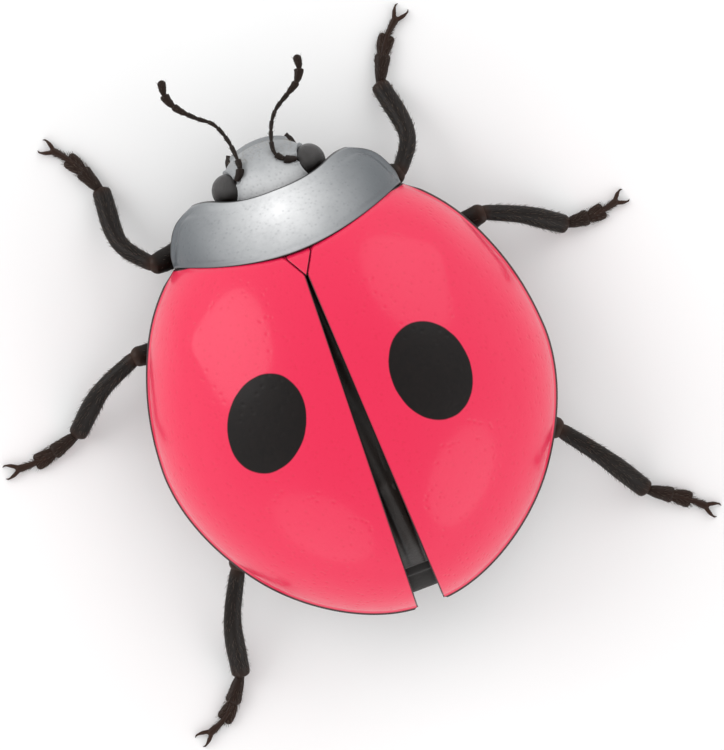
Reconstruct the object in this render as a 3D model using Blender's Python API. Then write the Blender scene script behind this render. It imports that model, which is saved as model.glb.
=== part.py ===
"""A two-spot ladybird at life size, standing on its six feet with its wing cases a little open.

Lengths are written in millimetres and turned into metres as each mesh is made. +Z is up, the head
points to -Y and the animal's left is +X. The plan is laid out from the front end of the seam between
the wing cases; once all is built, the whole is moved so that the origin is the middle of its footprint.
"""

import math

import bmesh
import bpy
import numpy as np
from mathutils import Matrix, Vector

MM = 0.001
GAP = 0.03                      # between any two pieces

# The dome of the wing cases, closed: a superellipse in plan, an ellipse in section
DOME_CENTRE_Y = 1.479
DOME_HALF_WIDTH = 2.069
DOME_FRONT = 2.461              # from its centre to where its front end would be
DOME_REAR = 2.198
DOME_FRONT_POWER = 2.07
DOME_REAR_POWER = 1.80
DOME_HEIGHT = 1.64
RIM_Z = 0.86
OPENING = math.radians(2.1)     # each wing case swings out this far about the seam's front end

CASE_THICKNESS = 0.5
WING_THICKNESS = 0.48
WING_REACH = 0.72               # share of the space under the wing cases that a folded wing covers

# The shield behind the head
SHIELD_REAR_MIDDLE_Y = -0.24
SHIELD_REAR_CORNER_Y = -0.54
SHIELD_FRONT_MIDDLE_Y = -0.93
SHIELD_FRONT_CORNER_Y = -1.14
SHIELD_REAR_HALF_WIDTH = 1.27
SHIELD_FRONT_HALF_WIDTH = 1.0
SHIELD_FRONT_MIDDLE_Z = 1.56
SHIELD_SIDE_Z = (0.90, 1.0)     # rear corner, front corner
SHIELD_HOLLOW = (0.68, 0.9, 0.64)

# The trunk under the wing cases
TRUNK_REAR_Y = 3.52
TRUNK_FRONT_Y = -0.35
TRUNK_CUTS = (0.12, 1.22)       # mid and hind thorax, hind thorax and abdomen

HEAD_CENTRE = Vector((0.0, -1.0, 1.06))
HEAD_HALF = Vector((0.56, 0.46, 0.40))
EYE_CENTRE = Vector((0.51, -1.085, 1.13))
EYE_HALF = Vector((0.16, 0.165, 0.23))

# Radius of each part of a leg at its start, middle and end
LEG_RADII = {
    "coxa": (0.22, 0.25, 0.22),
    "femur": (0.205, 0.255, 0.205),
    "tibia": (0.195, 0.20, 0.225),
    "tarsus": (0.20, 0.20, 0.15),
}
LEG_SIDES = 8
COXA_Z = 0.42
FEMUR_Z = 0.44
KNEE_Z = 0.56
ANKLE_Z = 0.235
FOOT_Z = 0.19                   # a foot's middle line, lower than its radius, so that it has a flat sole
CLAW_Z = 0.12

# Where each leg bends, in plan: inner end, hip, knee, middle of the shin, ankle, middle of the foot, tip
LEGS = {
    "fore_left": ((0.32, -0.72), (0.62, -0.72), (1.52, -0.55), (1.69, -1.05), (1.70, -1.58),
                  (1.90, -1.99), (2.13, -2.26)),
    "fore_right": ((-0.32, -0.72), (-0.62, -0.72), (-1.36, -0.52), (-1.49, -1.05), (-1.43, -1.58),
                   (-1.66, -1.99), (-1.95, -2.27)),
    "mid_left": ((0.33, 0.40), (0.65, 0.36), (1.98, 0.18), (2.44, 0.38), (2.84, 0.72),
                 (3.28, 0.83), (3.71, 0.83)),
    "mid_right": ((-0.33, 0.40), (-0.65, 0.34), (-1.95, 0.05), (-2.34, 0.22), (-2.72, 0.49),
                  (-3.08, 0.48), (-3.44, 0.41)),
    "hind_left": ((0.34, 1.33), (0.66, 1.50), (1.76, 2.62), (2.03, 3.16), (2.13, 3.68),
                  (2.40, 4.01), (2.80, 4.20)),
    "hind_right": ((-0.34, 1.33), (-0.66, 1.50), (-1.90, 2.46), (-2.23, 2.90), (-2.53, 3.38),
                   (-2.85, 3.58), (-3.17, 3.87)),
}

# Each feeler's middle line from the brow outwards: x, y, z
FEELERS = {
    "left": ((0.265, -1.34, 1.20), (0.265, -1.60, 1.20), (0.35, -1.80, 1.19), (0.50, -1.94, 1.17),
             (0.65, -2.09, 1.15), (0.72, -2.25, 1.12), (0.70, -2.40, 1.10)),
    "right": ((-0.175, -1.34, 1.20), (-0.20, -1.55, 1.20), (-0.32, -1.72, 1.19), (-0.48, -1.83, 1.17),
              (-0.62, -1.91, 1.15), (-0.70, -2.04, 1.12), (-0.72, -2.16, 1.10)),
}
FEELER_RADIUS = 0.19
CLUB_RADIUS = 0.24

# Base colour, roughness
MATERIALS = {
    "wing_case_red": ((0.80, 0.06, 0.09), 0.25),
    "shield_grey": ((0.22, 0.24, 0.26), 0.35),
    "shell_black": ((0.018, 0.012, 0.010), 0.30),
    "eye_black": ((0.008, 0.007, 0.007), 0.12),
    "leg_brown_black": ((0.022, 0.014, 0.011), 0.38),
    "wing_smoke": ((0.10, 0.07, 0.05), 0.30),
}

BODY = None


def clear_scene():
    for obj in list(bpy.data.objects):
        bpy.data.objects.remove(obj, do_unlink=True)


def material(name):
    made = bpy.data.materials.get(name)
    if made:
        return made
    colour, roughness = MATERIALS[name]
    made = bpy.data.materials.new(name)
    made.use_nodes = True
    shader = made.node_tree.nodes["Principled BSDF"]
    shader.inputs["Base Color"].default_value = (*colour, 1.0)
    shader.inputs["Roughness"].default_value = roughness
    shader.inputs["Metallic"].default_value = 0.0
    return made


def finish(name, bm, finish_name, cutter=False):
    """Turns a bmesh in millimetres into an object in metres, under the body's empty."""
    bmesh.ops.remove_doubles(bm, verts=bm.verts, dist=0.0005)
    bmesh.ops.recalc_face_normals(bm, faces=bm.faces)
    bmesh.ops.scale(bm, vec=Vector((MM, MM, MM)), verts=bm.verts)
    mesh = bpy.data.meshes.new(name)
    bm.to_mesh(mesh)
    bm.free()
    mesh.shade_smooth()
    mesh.set_sharp_from_angle(angle=math.radians(35))
    obj = bpy.data.objects.new(name, mesh)
    bpy.context.scene.collection.objects.link(obj)
    obj.parent = BODY
    if cutter:
        obj.hide_render = True
        obj.display_type = "WIRE"
    else:
        mesh.materials.append(material(finish_name))
    return obj


def cut(obj, *cutters):
    """Takes each cutter's space out of an object."""
    for cutter in cutters:
        boolean = obj.modifiers.new(cutter.name, "BOOLEAN")
        boolean.operation = "DIFFERENCE"
        boolean.solver = "EXACT"
        boolean.object = cutter


def signed_power(value, power):
    return math.copysign(abs(value) ** power, value)


# ---- shapes that several pieces share ----

def dome_point(bearing, reach, grow=0.0, height=DOME_HEIGHT):
    """A point of the closed dome: bearing 0 faces the head, reach 0 is the summit and 1 the rim."""
    ahead = math.cos(bearing) > 0
    power = 2 / (DOME_FRONT_POWER if ahead else DOME_REAR_POWER)
    length = (DOME_FRONT if ahead else DOME_REAR) + grow
    x = reach * (DOME_HALF_WIDTH + grow) * signed_power(math.sin(bearing), power)
    y = DOME_CENTRE_Y - reach * length * signed_power(math.cos(bearing), power)
    return Vector((x, y, RIM_Z + height * math.sqrt(max(0.0, 1 - reach * reach))))


def shield_rear_y(x):
    """The shield's rear edge, which bows back in the middle."""
    out = abs(x) / SHIELD_REAR_HALF_WIDTH
    return SHIELD_REAR_MIDDLE_Y + (SHIELD_REAR_CORNER_Y - SHIELD_REAR_MIDDLE_Y) * out ** 1.9


def opened(point, side):
    """A point of the left half of the closed dome, swung open and, for side -1, mirrored."""
    turned = Matrix.Rotation(-OPENING, 3, "Z") @ point
    turned.x += GAP / 2 + 0.008
    return Vector((side * turned.x, turned.y, turned.z))


def clear_of_shield(point):
    spot = opened(point, 1)
    return spot.y > shield_rear_y(spot.x) + GAP


def last_true(test, near, far):
    """The furthest value from near towards far for which a test still holds."""
    for _ in range(30):
        middle = (near + far) / 2
        near, far = (middle, far) if test(middle) else (near, middle)
    return near


def base_reach(bearing):
    """How far the wing case reaches along a bearing: to its rim, or to the shield's rear edge."""
    if clear_of_shield(dome_point(bearing, 1.0)):
        return 1.0
    return last_true(lambda reach: clear_of_shield(dome_point(bearing, reach)), 0.0, 1.0)


def shoulder_bearing():
    """The bearing of the wing case's front corner, where its rim meets the shield."""
    return last_true(lambda bearing: clear_of_shield(dome_point(bearing, 1.0)), math.pi / 2, 0.0)


def ray_bearings(rays, corner, rays_ahead):
    """Bearings from the head end round to the tail end, crowded towards the corner ahead of it."""
    ahead = [corner * math.sin(math.pi / 2 * number / rays_ahead) for number in range(rays_ahead)]
    behind = np.linspace(corner, math.pi, rays - rays_ahead + 1)
    return [*ahead, *behind]


def fan_sheet(bm, bearings, rings, reach_at, grow=0.0, height=DOME_HEIGHT):
    """Half a dome as a fan of rays from the summit, on the side of +X."""
    rays = len(bearings) - 1
    bmesh.ops.create_grid(bm, x_segments=rays, y_segments=rings, size=1.0)
    for vert in bm.verts:
        bearing = float(bearings[round(rays * (vert.co.x + 1) / 2)])
        share = math.sin(math.pi / 2 * (vert.co.y + 1) / 2)
        vert.co = dome_point(bearing, share * reach_at(bearing), grow, height)
    bmesh.ops.remove_doubles(bm, verts=bm.verts, dist=0.001)


def extrude_all(bm):
    """Extrudes a sheet into a closed wall and returns the verts of the new face."""
    made = bmesh.ops.extrude_face_region(bm, geom=bm.faces[:], use_keep_orig=True)
    return [part for part in made["geom"] if isinstance(part, bmesh.types.BMVert)]


def loft(bm, rings):
    """Bridges rings of points, all of one count, and caps the two ends."""
    loops = []
    for number, ring in enumerate(rings):
        verts = [bm.verts.new(point) for point in ring]
        if number in (0, len(rings) - 1):
            bm.faces.new(verts)
        edges = []
        for first, second in zip(verts, verts[1:] + verts[:1]):
            edges.append(bm.edges.get((first, second)) or bm.edges.new((first, second)))
        loops.append(edges)
    for lower, upper in zip(loops, loops[1:]):
        bmesh.ops.bridge_loops(bm, edges=lower + upper)


def plan_ring(half_width, front_y, rear_y, z, count, power=2.1):
    """A level superellipse between two ends, widest at the middle of the dome's length."""
    middle = front_y + (rear_y - front_y) * 0.5
    points = []
    for number in range(count):
        turn = 2 * math.pi * number / count
        x = half_width * signed_power(math.sin(turn), 2 / power)
        y = middle - (middle - front_y) * signed_power(math.cos(turn), 2 / power)
        points.append(Vector((x, y, z)))
    return points


def stack(bm, levels, count, power=2.1):
    """A solid of level outlines, each given as z, half width, front and rear."""
    loft(bm, [plan_ring(w, front, rear, z, count, power) for z, w, front, rear in levels])


class Route:
    """A smooth curve through points, measured by its length."""

    def __init__(self, points, steps=16):
        ends = [2 * points[0] - points[1], *points, 2 * points[-1] - points[-2]]
        self.samples, self.knots = [], [0]
        for before, start, end, after in zip(ends, ends[1:], ends[2:], ends[3:]):
            for step in range(steps):
                t = step / steps
                self.samples.append(0.5 * (
                    2 * start + (end - before) * t
                    + (2 * before - 5 * start + 4 * end - after) * t ** 2
                    + (3 * start - before - 3 * end + after) * t ** 3))
            self.knots.append(len(self.samples))
        self.samples.append(points[-1].copy())
        steps_long = [(b - a).length for a, b in zip(self.samples, self.samples[1:])]
        self.lengths = np.concatenate([[0.0], np.cumsum(steps_long)])
        self.length = float(self.lengths[-1])

    def knot(self, number):
        """The length along the curve at which it passes one of its points."""
        return float(self.lengths[self.knots[number]])

    def at(self, length):
        coordinates = np.array([tuple(sample) for sample in self.samples])
        return Vector([float(np.interp(length, self.lengths, column)) for column in coordinates.T])

    def heading(self, length):
        step = 0.02
        return (self.at(min(length + step, self.length)) - self.at(max(length - step, 0.0))).normalized()


def tube_rings(route, start, end, count, radius_at, sides):
    """Circles across a route from start to end; radius_at takes 0 to 1 along them."""
    rings = []
    for number in range(count):
        share = number / (count - 1)
        length = start + (end - start) * share
        ahead = route.heading(length)
        across = ahead.cross(Vector((0, 0, 1))).normalized()
        above = across.cross(ahead)
        middle, radius = route.at(length), radius_at(share)
        turns = [2 * math.pi * (side + 0.5) / sides for side in range(sides)]
        rings.append([middle + radius * (math.cos(a) * across + math.sin(a) * above) for a in turns])
    return rings


def rounded(share, length, radius, at_start, at_end):
    """Scales a tube's radius down to a dome at the ends that are free."""
    scale = 1.0
    for free, away in ((at_start, share * length), (at_end, (1 - share) * length)):
        if free and away < radius:
            scale = min(scale, math.sqrt(max(0.09, 1 - (1 - away / radius) ** 2)))
    return scale


# ---- the wing cases, wings and trunk ----

def wing_case(side, name, cutters):
    bm = bmesh.new()
    fan_sheet(bm, ray_bearings(19, shoulder_bearing(), 6), 8, base_reach)
    centre = Vector((0, DOME_CENTRE_Y, RIM_Z))
    shrink = (
        1 - CASE_THICKNESS / DOME_HALF_WIDTH,
        1 - CASE_THICKNESS / ((DOME_FRONT + DOME_REAR) / 2),
        1 - CASE_THICKNESS / DOME_HEIGHT,
    )
    bmesh.ops.scale(bm, vec=Vector(shrink), verts=extrude_all(bm), space=Matrix.Translation(-centre))
    for vert in bm.verts:
        vert.co = opened(vert.co, side)
    cut(finish(name, bm, "wing_case_red"), *cutters)


def folded_wing(side, name):
    """A folded hind wing: a pad that follows the inside of the wing case."""
    bm = bmesh.new()
    inside = -CASE_THICKNESS - 2 * GAP
    bearings = np.linspace(0.0, math.pi, 13)
    fan_sheet(bm, bearings, 5, lambda bearing: WING_REACH, inside, DOME_HEIGHT + inside)
    bmesh.ops.translate(bm, vec=Vector((0, 0, -WING_THICKNESS)), verts=extrude_all(bm))
    for vert in bm.verts:
        vert.co.x = side * (vert.co.x + GAP / 2)
    finish(name, bm, "wing_smoke")


def scutellum(name, grow=0.0, cutter=False):
    """The small triangle between the bases of the wing cases."""
    half_width, front, tip = 0.135 + grow, -0.205 - grow, 0.03 + 1.5 * grow
    bm = bmesh.new()
    rings = []
    for z, scale in ((1.70 - grow, 0.8), (2.03, 1.0), (2.07 + grow, 0.8)):
        middle = front + (tip - front) * 0.35
        corners = ((-half_width, front), (half_width, front), (0, tip))
        rings.append([Vector((scale * x, middle + scale * (y - middle), z)) for x, y in corners])
    loft(bm, rings)
    return finish(name, bm, "wing_case_red", cutter)


def trunk_levels():
    """The trunk's outline from the belly up to the folded wings."""
    inside = CASE_THICKNESS + 2 * GAP
    width = DOME_HALF_WIDTH - inside
    front = DOME_FRONT - inside
    rear = DOME_REAR - inside
    levels = [
        (0.52, 0.70, 0.30, 2.60),
        (0.55, 1.15, 0.05, 3.05),
        (0.66, 1.55, -0.18, 3.36),
        (0.77, 1.74, -0.32, 3.50),
        (0.825, 1.76, TRUNK_FRONT_Y, TRUNK_REAR_Y),
        (0.835, 1.47, -0.34, DOME_CENTRE_Y + rear - 0.02),
    ]
    for reach, z in ((0.93, 1.04), (0.75, 1.09), (0.52, 1.26), (0.26, 1.39)):
        levels.append((z, width * reach, DOME_CENTRE_Y - front * reach, DOME_CENTRE_Y + rear * reach))
    return levels


def trunk_piece(name, front_y, rear_y, cutters):
    """One slice of the trunk, between two cross cuts."""
    bm = bmesh.new()
    stack(bm, trunk_levels(), count=30)
    for y, outward in ((front_y, -1), (rear_y, 1)):
        if y is None:
            continue
        bmesh.ops.bisect_plane(
            bm, geom=bm.verts[:] + bm.edges[:] + bm.faces[:], dist=0.0001,
            plane_co=Vector((0, y, 0)), plane_no=Vector((0, outward, 0)), clear_outer=True)
        bmesh.ops.holes_fill(bm, edges=[edge for edge in bm.edges if edge.is_boundary])
    cut(finish(name, bm, "shell_black"), *cutters)


# ---- the shield, fore thorax and head ----

def dome_height_at(x, y):
    """The closed dome's height over a point in plan, or the rim's where it is outside."""
    ahead = y < DOME_CENTRE_Y
    power = DOME_FRONT_POWER if ahead else DOME_REAR_POWER
    length = DOME_FRONT if ahead else DOME_REAR
    reach = (abs(x / DOME_HALF_WIDTH) ** power + abs((y - DOME_CENTRE_Y) / length) ** power) ** (1 / power)
    return RIM_Z + DOME_HEIGHT * math.sqrt(max(0.0, 1 - reach * reach))


def shield_point(u, v):
    """A point of the shield: u runs -1 to 1 across it, v from 0 at its rear edge to 1 at its front."""
    across = math.sin(u * math.pi / 2)
    half_width = SHIELD_REAR_HALF_WIDTH - (SHIELD_REAR_HALF_WIDTH - SHIELD_FRONT_HALF_WIDTH) * v ** 1.7
    x = half_width * across
    rear_y = shield_rear_y(SHIELD_REAR_HALF_WIDTH * across)
    front_y = SHIELD_FRONT_MIDDLE_Y
    front_y += (SHIELD_FRONT_CORNER_Y - SHIELD_FRONT_MIDDLE_Y) * abs(across) ** 2.5
    y = rear_y + (front_y - rear_y) * v
    side_z = SHIELD_SIDE_Z[0] + (SHIELD_SIDE_Z[1] - SHIELD_SIDE_Z[0]) * v
    crown_z = dome_height_at(0, SHIELD_REAR_MIDDLE_Y)
    crown_z += (SHIELD_FRONT_MIDDLE_Z - crown_z) * (0.75 * v + 0.25 * v * v)
    arch = max(0.0, 1 - across * across) ** 0.58
    return Vector((x, y, side_z + (crown_z - side_z) * arch))


def shield(cutters):
    bm = bmesh.new()
    bmesh.ops.create_grid(bm, x_segments=18, y_segments=5, size=1.0)
    for vert in bm.verts:
        vert.co = shield_point(vert.co.x, (vert.co.y + 1) / 2)
    centre = Vector((0, -0.62, RIM_Z))
    bmesh.ops.scale(
        bm, vec=Vector(SHIELD_HOLLOW), verts=extrude_all(bm), space=Matrix.Translation(-centre))
    cut(finish("pronotum", bm, "shield_grey"), *cutters)


def fore_thorax(cutters):
    bm = bmesh.new()
    stack(bm, [
        (0.56, 0.42, -0.46, -0.84),
        (0.62, 0.70, -0.40, -0.90),
        (0.82, 0.80, -0.375, -0.92),
        (1.05, 0.74, -0.375, -0.90),
        (1.22, 0.45, -0.40, -0.84),
    ], count=20, power=2.6)
    cut(finish("prosternum", bm, "shell_black"), *cutters)


def ellipsoid(name, centre, half, finish_name, grow=0.0, lean=0.0, segments=(18, 12), cutter=False):
    """A ball stretched to half sizes, its poles across the body, leaned about the Y axis."""
    bm = bmesh.new()
    bmesh.ops.create_uvsphere(bm, u_segments=segments[0], v_segments=segments[1], radius=1.0)
    size = half + Vector((grow, grow, grow))
    place = Matrix.Translation(centre) @ Matrix.Rotation(lean, 4, "Y") @ Matrix.Diagonal((*size, 1))
    bmesh.ops.transform(bm, matrix=place, verts=bm.verts)
    return finish(name, bm, finish_name, cutter)


def mouth_parts():
    """The upper lip and the jaws under it."""
    bm = bmesh.new()
    loft(bm, [
        [Vector((x, y, z)) for x, y in ((-w, -1.36), (-w * 0.8, f), (w * 0.8, f), (w, -1.36))]
        for z, w, f in ((0.70, 0.15, -1.44), (0.78, 0.20, -1.485), (0.86, 0.18, -1.475))
    ])
    cut(finish("labrum", bm, "shield_grey"), bpy.data.objects["head_space"])
    for side, name in ((1, "left"), (-1, "right")):
        bm = bmesh.new()
        loft(bm, [
            [Vector((side * x, y, z)) for x, y in ((0.02, -1.20), (0.19, -1.22), (0.14, f), (0.02, f))]
            for z, f in ((0.53, -1.38), (0.60, -1.44), (0.66, -1.40))
        ])
        cut(finish(f"mandible_{name}", bm, "shell_black"), bpy.data.objects["head_space"])


def palp(side, name):
    """A jaw palp, widening to a hatchet at its end."""
    points = [Vector((side * 0.42, -1.06, 0.50)), Vector((side * 0.44, -1.20, 0.43)),
              Vector((side * 0.36, -1.38, 0.38))]
    route = Route(points)
    bm = bmesh.new()

    def radius(share):
        return (0.12 + 0.05 * share) * rounded(share, route.length, 0.10, True, True)

    loft(bm, tube_rings(route, 0.0, route.length, 9, radius, 8))
    cut(finish(name, bm, "leg_brown_black"), bpy.data.objects["head_space"])


def feeler(side_name, grow=0.0, cutter=False):
    """A feeler with its club at the tip, or, grown, the room it takes out of the head."""
    route = Route([Vector(point) for point in FEELERS[side_name]])

    def radius(share):
        club = max(0.0, 1 - abs(share - 0.86) / 0.28)
        size = FEELER_RADIUS + (CLUB_RADIUS - FEELER_RADIUS) * club ** 0.7 + grow
        return size * rounded(share, route.length, 0.16, True, True)

    bm = bmesh.new()
    loft(bm, tube_rings(route, -grow, route.length + grow, 16, radius, LEG_SIDES))
    name = f"feeler_space_{side_name}" if cutter else f"antenna_{side_name}"
    return finish(name, bm, "leg_brown_black", cutter)


# ---- the legs ----

def leg_route(leg):
    """A leg's middle line; the hip, knee and ankle are its points 1, 3 and 5."""
    inner, hip, knee, shin, ankle, foot, tip = [Vector((x, y, 0)) for x, y in LEGS[leg]]
    thigh = (hip + knee) / 2
    heights = (COXA_Z, COXA_Z, FEMUR_Z, KNEE_Z, (KNEE_Z + ANKLE_Z) / 2 + 0.03, ANKLE_Z, FOOT_Z, CLAW_Z)
    points = (inner, hip, thigh, knee, shin, ankle, foot, tip)
    return Route([Vector((p.x, p.y, z)) for p, z in zip(points, heights)])


def part_radius(part, share):
    """A leg part's radius along it: the parabola through its three radii."""
    start, middle, end = LEG_RADII[part]
    bulge = middle - (start + end) / 2
    return start + (end - start) * share + 4 * bulge * share * (1 - share)


def leg(leg_name):
    """Hip, thigh, shin and foot, parted by flat cuts across the route."""
    route = leg_route(leg_name)
    pair, side = leg_name.split("_")
    spans = (("coxa", 0, 1, 5), ("femur", 1, 3, 8), ("tibia", 3, 5, 7), ("tarsus", 5, 7, 9))
    for part, first, last, count in spans:
        start = route.knot(first) + (GAP / 2 if first else 0.0)
        end = route.knot(last) - (GAP / 2 if last < 7 else 0.0)
        free = part == "coxa", part == "tarsus"

        def radius(share):
            return part_radius(part, share) * rounded(share, end - start, 0.17, *free)

        bm = bmesh.new()
        loft(bm, tube_rings(route, start, end, count, radius, LEG_SIDES))
        if part == "tarsus":
            flatten_sole(bm)
        finish(f"{pair}_{part}_{side}", bm, "leg_brown_black")


def flatten_sole(bm):
    """Cuts a foot level with the floor."""
    bmesh.ops.bisect_plane(
        bm, geom=bm.verts[:] + bm.edges[:] + bm.faces[:], dist=0.0001,
        plane_co=Vector((0, 0, 0)), plane_no=Vector((0, 0, -1)), clear_outer=True)
    bmesh.ops.holes_fill(bm, edges=[edge for edge in bm.edges if edge.is_boundary])


def leg_room(leg_name):
    """The groove that a hip and thigh need in the underside."""
    route = leg_route(leg_name)
    bm = bmesh.new()

    def radius(share):
        return (max(LEG_RADII["femur"]) + GAP) * rounded(share, 1.5, 0.20, True, True)

    loft(bm, tube_rings(route, -GAP, route.knot(3), 14, radius, LEG_SIDES))
    return finish(f"leg_room_{leg_name}", bm, None, cutter=True)


def centre_on_footprint():
    """Moves the body so that the origin is the middle of its footprint."""
    bpy.context.view_layer.update()
    depsgraph = bpy.context.evaluated_depsgraph_get()
    corners = []
    for obj in bpy.context.scene.objects:
        if obj.type == "MESH" and not obj.hide_render:
            shape = obj.evaluated_get(depsgraph)
            corners += [shape.matrix_world @ Vector(corner) for corner in shape.bound_box]
    low = [min(corner[axis] for corner in corners) for axis in range(3)]
    high = [max(corner[axis] for corner in corners) for axis in range(3)]
    BODY.location = (-(low[0] + high[0]) / 2, -(low[1] + high[1]) / 2, -low[2])


def main():
    global BODY
    clear_scene()
    BODY = bpy.data.objects.new("ladybird", None)
    bpy.context.scene.collection.objects.link(BODY)

    head_space = ellipsoid("head_space", HEAD_CENTRE, HEAD_HALF, None, GAP, cutter=True)
    eye_space, feeler_space = [], []
    for side, name in ((1, "left"), (-1, "right")):
        centre = Vector((side * EYE_CENTRE.x, EYE_CENTRE.y, EYE_CENTRE.z))
        lean = side * math.radians(-20)
        eye_space.append(ellipsoid(
            f"eye_space_{name}", centre, EYE_HALF, None, GAP, lean, (12, 8), cutter=True))
        ellipsoid(f"eye_{name}", centre, EYE_HALF, "eye_black", 0.0, lean, (12, 8))
        feeler_space.append(feeler(name, GAP, cutter=True))
        feeler(name)
        palp(side, f"palp_{name}")
    head = ellipsoid("head", HEAD_CENTRE, HEAD_HALF, "shield_grey")
    cut(head, *eye_space, *feeler_space)
    mouth_parts()

    room = {name: leg_room(name) for name in LEGS}
    fore = [room["fore_left"], room["fore_right"]]
    mid = [room["mid_left"], room["mid_right"]]
    hind = [room["hind_left"], room["hind_right"]]
    for name in LEGS:
        leg(name)
    shield([head_space, *eye_space])
    fore_thorax([head_space, *eye_space, *fore])
    first, second = TRUNK_CUTS
    trunk_piece("mesothorax", None, first - GAP / 2, mid)
    trunk_piece("metathorax", first + GAP / 2, second - GAP / 2, mid + hind)
    trunk_piece("abdomen", second + GAP / 2, None, hind)

    scutellum("scutellum")
    scutellum_space = scutellum("scutellum_space", GAP, cutter=True)
    for side, name in ((1, "left"), (-1, "right")):
        wing_case(side, f"elytron_{name}", [scutellum_space])
        folded_wing(side, f"hind_wing_{name}")
    centre_on_footprint()


main()
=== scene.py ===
"""Looks of a two-spot ladybird: shell plates, eyes, feelers, folded wings, legs and hairs at life size.

Lengths here are millimetres in the animal's own frame: x to its left, y towards its tail and z up, from
the front end of the seam between the wing cases, on the floor. Surface.build turns them into the frame's
metres."""

import math

import bpy
import numpy as np
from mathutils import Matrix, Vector


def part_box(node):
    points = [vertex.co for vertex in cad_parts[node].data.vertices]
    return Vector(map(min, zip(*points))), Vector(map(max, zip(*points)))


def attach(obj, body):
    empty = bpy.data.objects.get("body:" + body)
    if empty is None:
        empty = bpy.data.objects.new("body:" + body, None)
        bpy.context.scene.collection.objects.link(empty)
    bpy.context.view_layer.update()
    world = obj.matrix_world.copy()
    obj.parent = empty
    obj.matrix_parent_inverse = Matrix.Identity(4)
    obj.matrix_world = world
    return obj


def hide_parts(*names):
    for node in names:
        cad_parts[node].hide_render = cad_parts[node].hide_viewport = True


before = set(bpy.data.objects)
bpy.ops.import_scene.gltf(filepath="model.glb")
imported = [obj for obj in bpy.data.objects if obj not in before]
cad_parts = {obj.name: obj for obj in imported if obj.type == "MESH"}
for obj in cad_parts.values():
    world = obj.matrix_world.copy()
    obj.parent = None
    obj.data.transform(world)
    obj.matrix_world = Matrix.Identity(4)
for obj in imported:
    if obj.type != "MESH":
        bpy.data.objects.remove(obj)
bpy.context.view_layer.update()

MM = 0.001
SIDES = ((1, "left"), (-1, "right"))
# Orders of a grid face's corners, as steps along the grid's rows and columns
ROWS_FIRST = ((0, 0), (1, 0), (1, 1), (0, 1))
COLUMNS_FIRST = ((0, 0), (0, 1), (1, 1), (1, 0))

SCUTELLUM_LOW, SCUTELLUM_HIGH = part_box("scutellum")
SCUTELLUM_TIP_Y = 0.03          # behind the seam's front end
ORIGIN = Vector((
    (SCUTELLUM_LOW.x + SCUTELLUM_HIGH.x) / 2,
    SCUTELLUM_HIGH.y - SCUTELLUM_TIP_Y * MM,
    0.0))
SCUTELLUM_HALF = (SCUTELLUM_HIGH.x - SCUTELLUM_LOW.x) / 2 / MM
SCUTELLUM_FRONT_Y = (SCUTELLUM_LOW.y - ORIGIN.y) / MM


def own_box(node):
    """A node's lowest and highest corners in the animal's own millimetres."""
    return [(corner - ORIGIN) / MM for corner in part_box(node)]


CASE_LOW, CASE_HIGH = own_box("elytron_left")
SHIELD_LOW, SHIELD_HIGH = own_box("pronotum")
HEAD_LOW, HEAD_HIGH = own_box("head")
BELLY_LOW, BELLY_HIGH = own_box("abdomen")

# The dome of the wing cases: a superellipse in plan and an ellipse in section
DOME_CENTRE_Y = 1.479
DOME_HALF_WIDTH = 2.069
DOME_FRONT = 2.461
DOME_REAR = 2.198
DOME_FRONT_POWER = 2.07
DOME_REAR_POWER = 1.80
RIM_Z = CASE_LOW.z
DOME_HEIGHT = CASE_HIGH.z - CASE_LOW.z
OPENING = math.radians(2.1)
SEAM_GAP = 0.006                # from the middle to each wing case at the seam's front end
CASE_WALL = 0.085
CASE_ROWS = 401
CASE_COLUMNS = 229              # on the dome; the turned-under rim has 12 more
TUCK = 0.05                     # how far the front edge runs in under the shield
TIP_ANGLE = math.pi - 0.03      # bearing of the wing case's tip

# Where each wing case's spot lies in plan, its two half sizes and the heading of the longer one
SPOTS = (
    ((0.934, 1.320), (0.409, 0.526), (0.51, 0.86)),
    ((-0.857, 1.410), (0.415, 0.537), (-0.08, 1.0)),
)

# The shield's outline
SHIELD_HALF_WIDTH = SHIELD_HIGH.x - (SHIELD_LOW.x + SHIELD_HIGH.x) / 2
SHIELD_FRONT_HALF_WIDTH = 1.0
SHIELD_REAR_MIDDLE_Y = SHIELD_HIGH.y
SHIELD_REAR_CORNER_Y = -0.54
SHIELD_FRONT_MIDDLE_Y = -0.93
SHIELD_FRONT_CORNER_Y = SHIELD_LOW.y - 0.05     # before it is rounded off
SHIELD_SIDE_Z = (0.90, 1.0)
SHIELD_FRONT_MIDDLE_Z = 1.56
SHIELD_WALL = 0.06
FLANK_WALL = 0.02               # wall of a plate's turned-under side
SHIELD_ROWS, SHIELD_COLUMNS = 161, 381
# The rows of the fold under the shield's sides, as how far in and how far up each lies
SHIELD_FOLD = ((0.002, -0.012), (0.008, -0.020), (0.018, -0.024), (0.05, -0.026), (0.10, -0.020),
               (0.15, -0.010), (0.19, 0.002), (0.22, 0.014), (0.235, 0.026), (0.24, 0.04))

HEAD_CENTRE = (HEAD_LOW + HEAD_HIGH) / 2
HEAD_HALF = (HEAD_HIGH - HEAD_LOW) / 2
HEAD_RINGS, HEAD_SIDES = 220, 300
EYE_HALF = np.array([0.150, 0.178, 0.240])
EYE_CENTRE = np.array([0.458, -1.092, 1.145])
EYE_LEAN = math.radians(20)
FACET = 0.100                   # width of an eye's facet, where the eye's radius is 1
FACETS_END = 2.05               # how far round the eye from its outward pole they reach
SOCKET = np.array([0.335, -1.17, 1.36])
LIP_ROWS, LIP_COLUMNS = 61, 81

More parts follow.
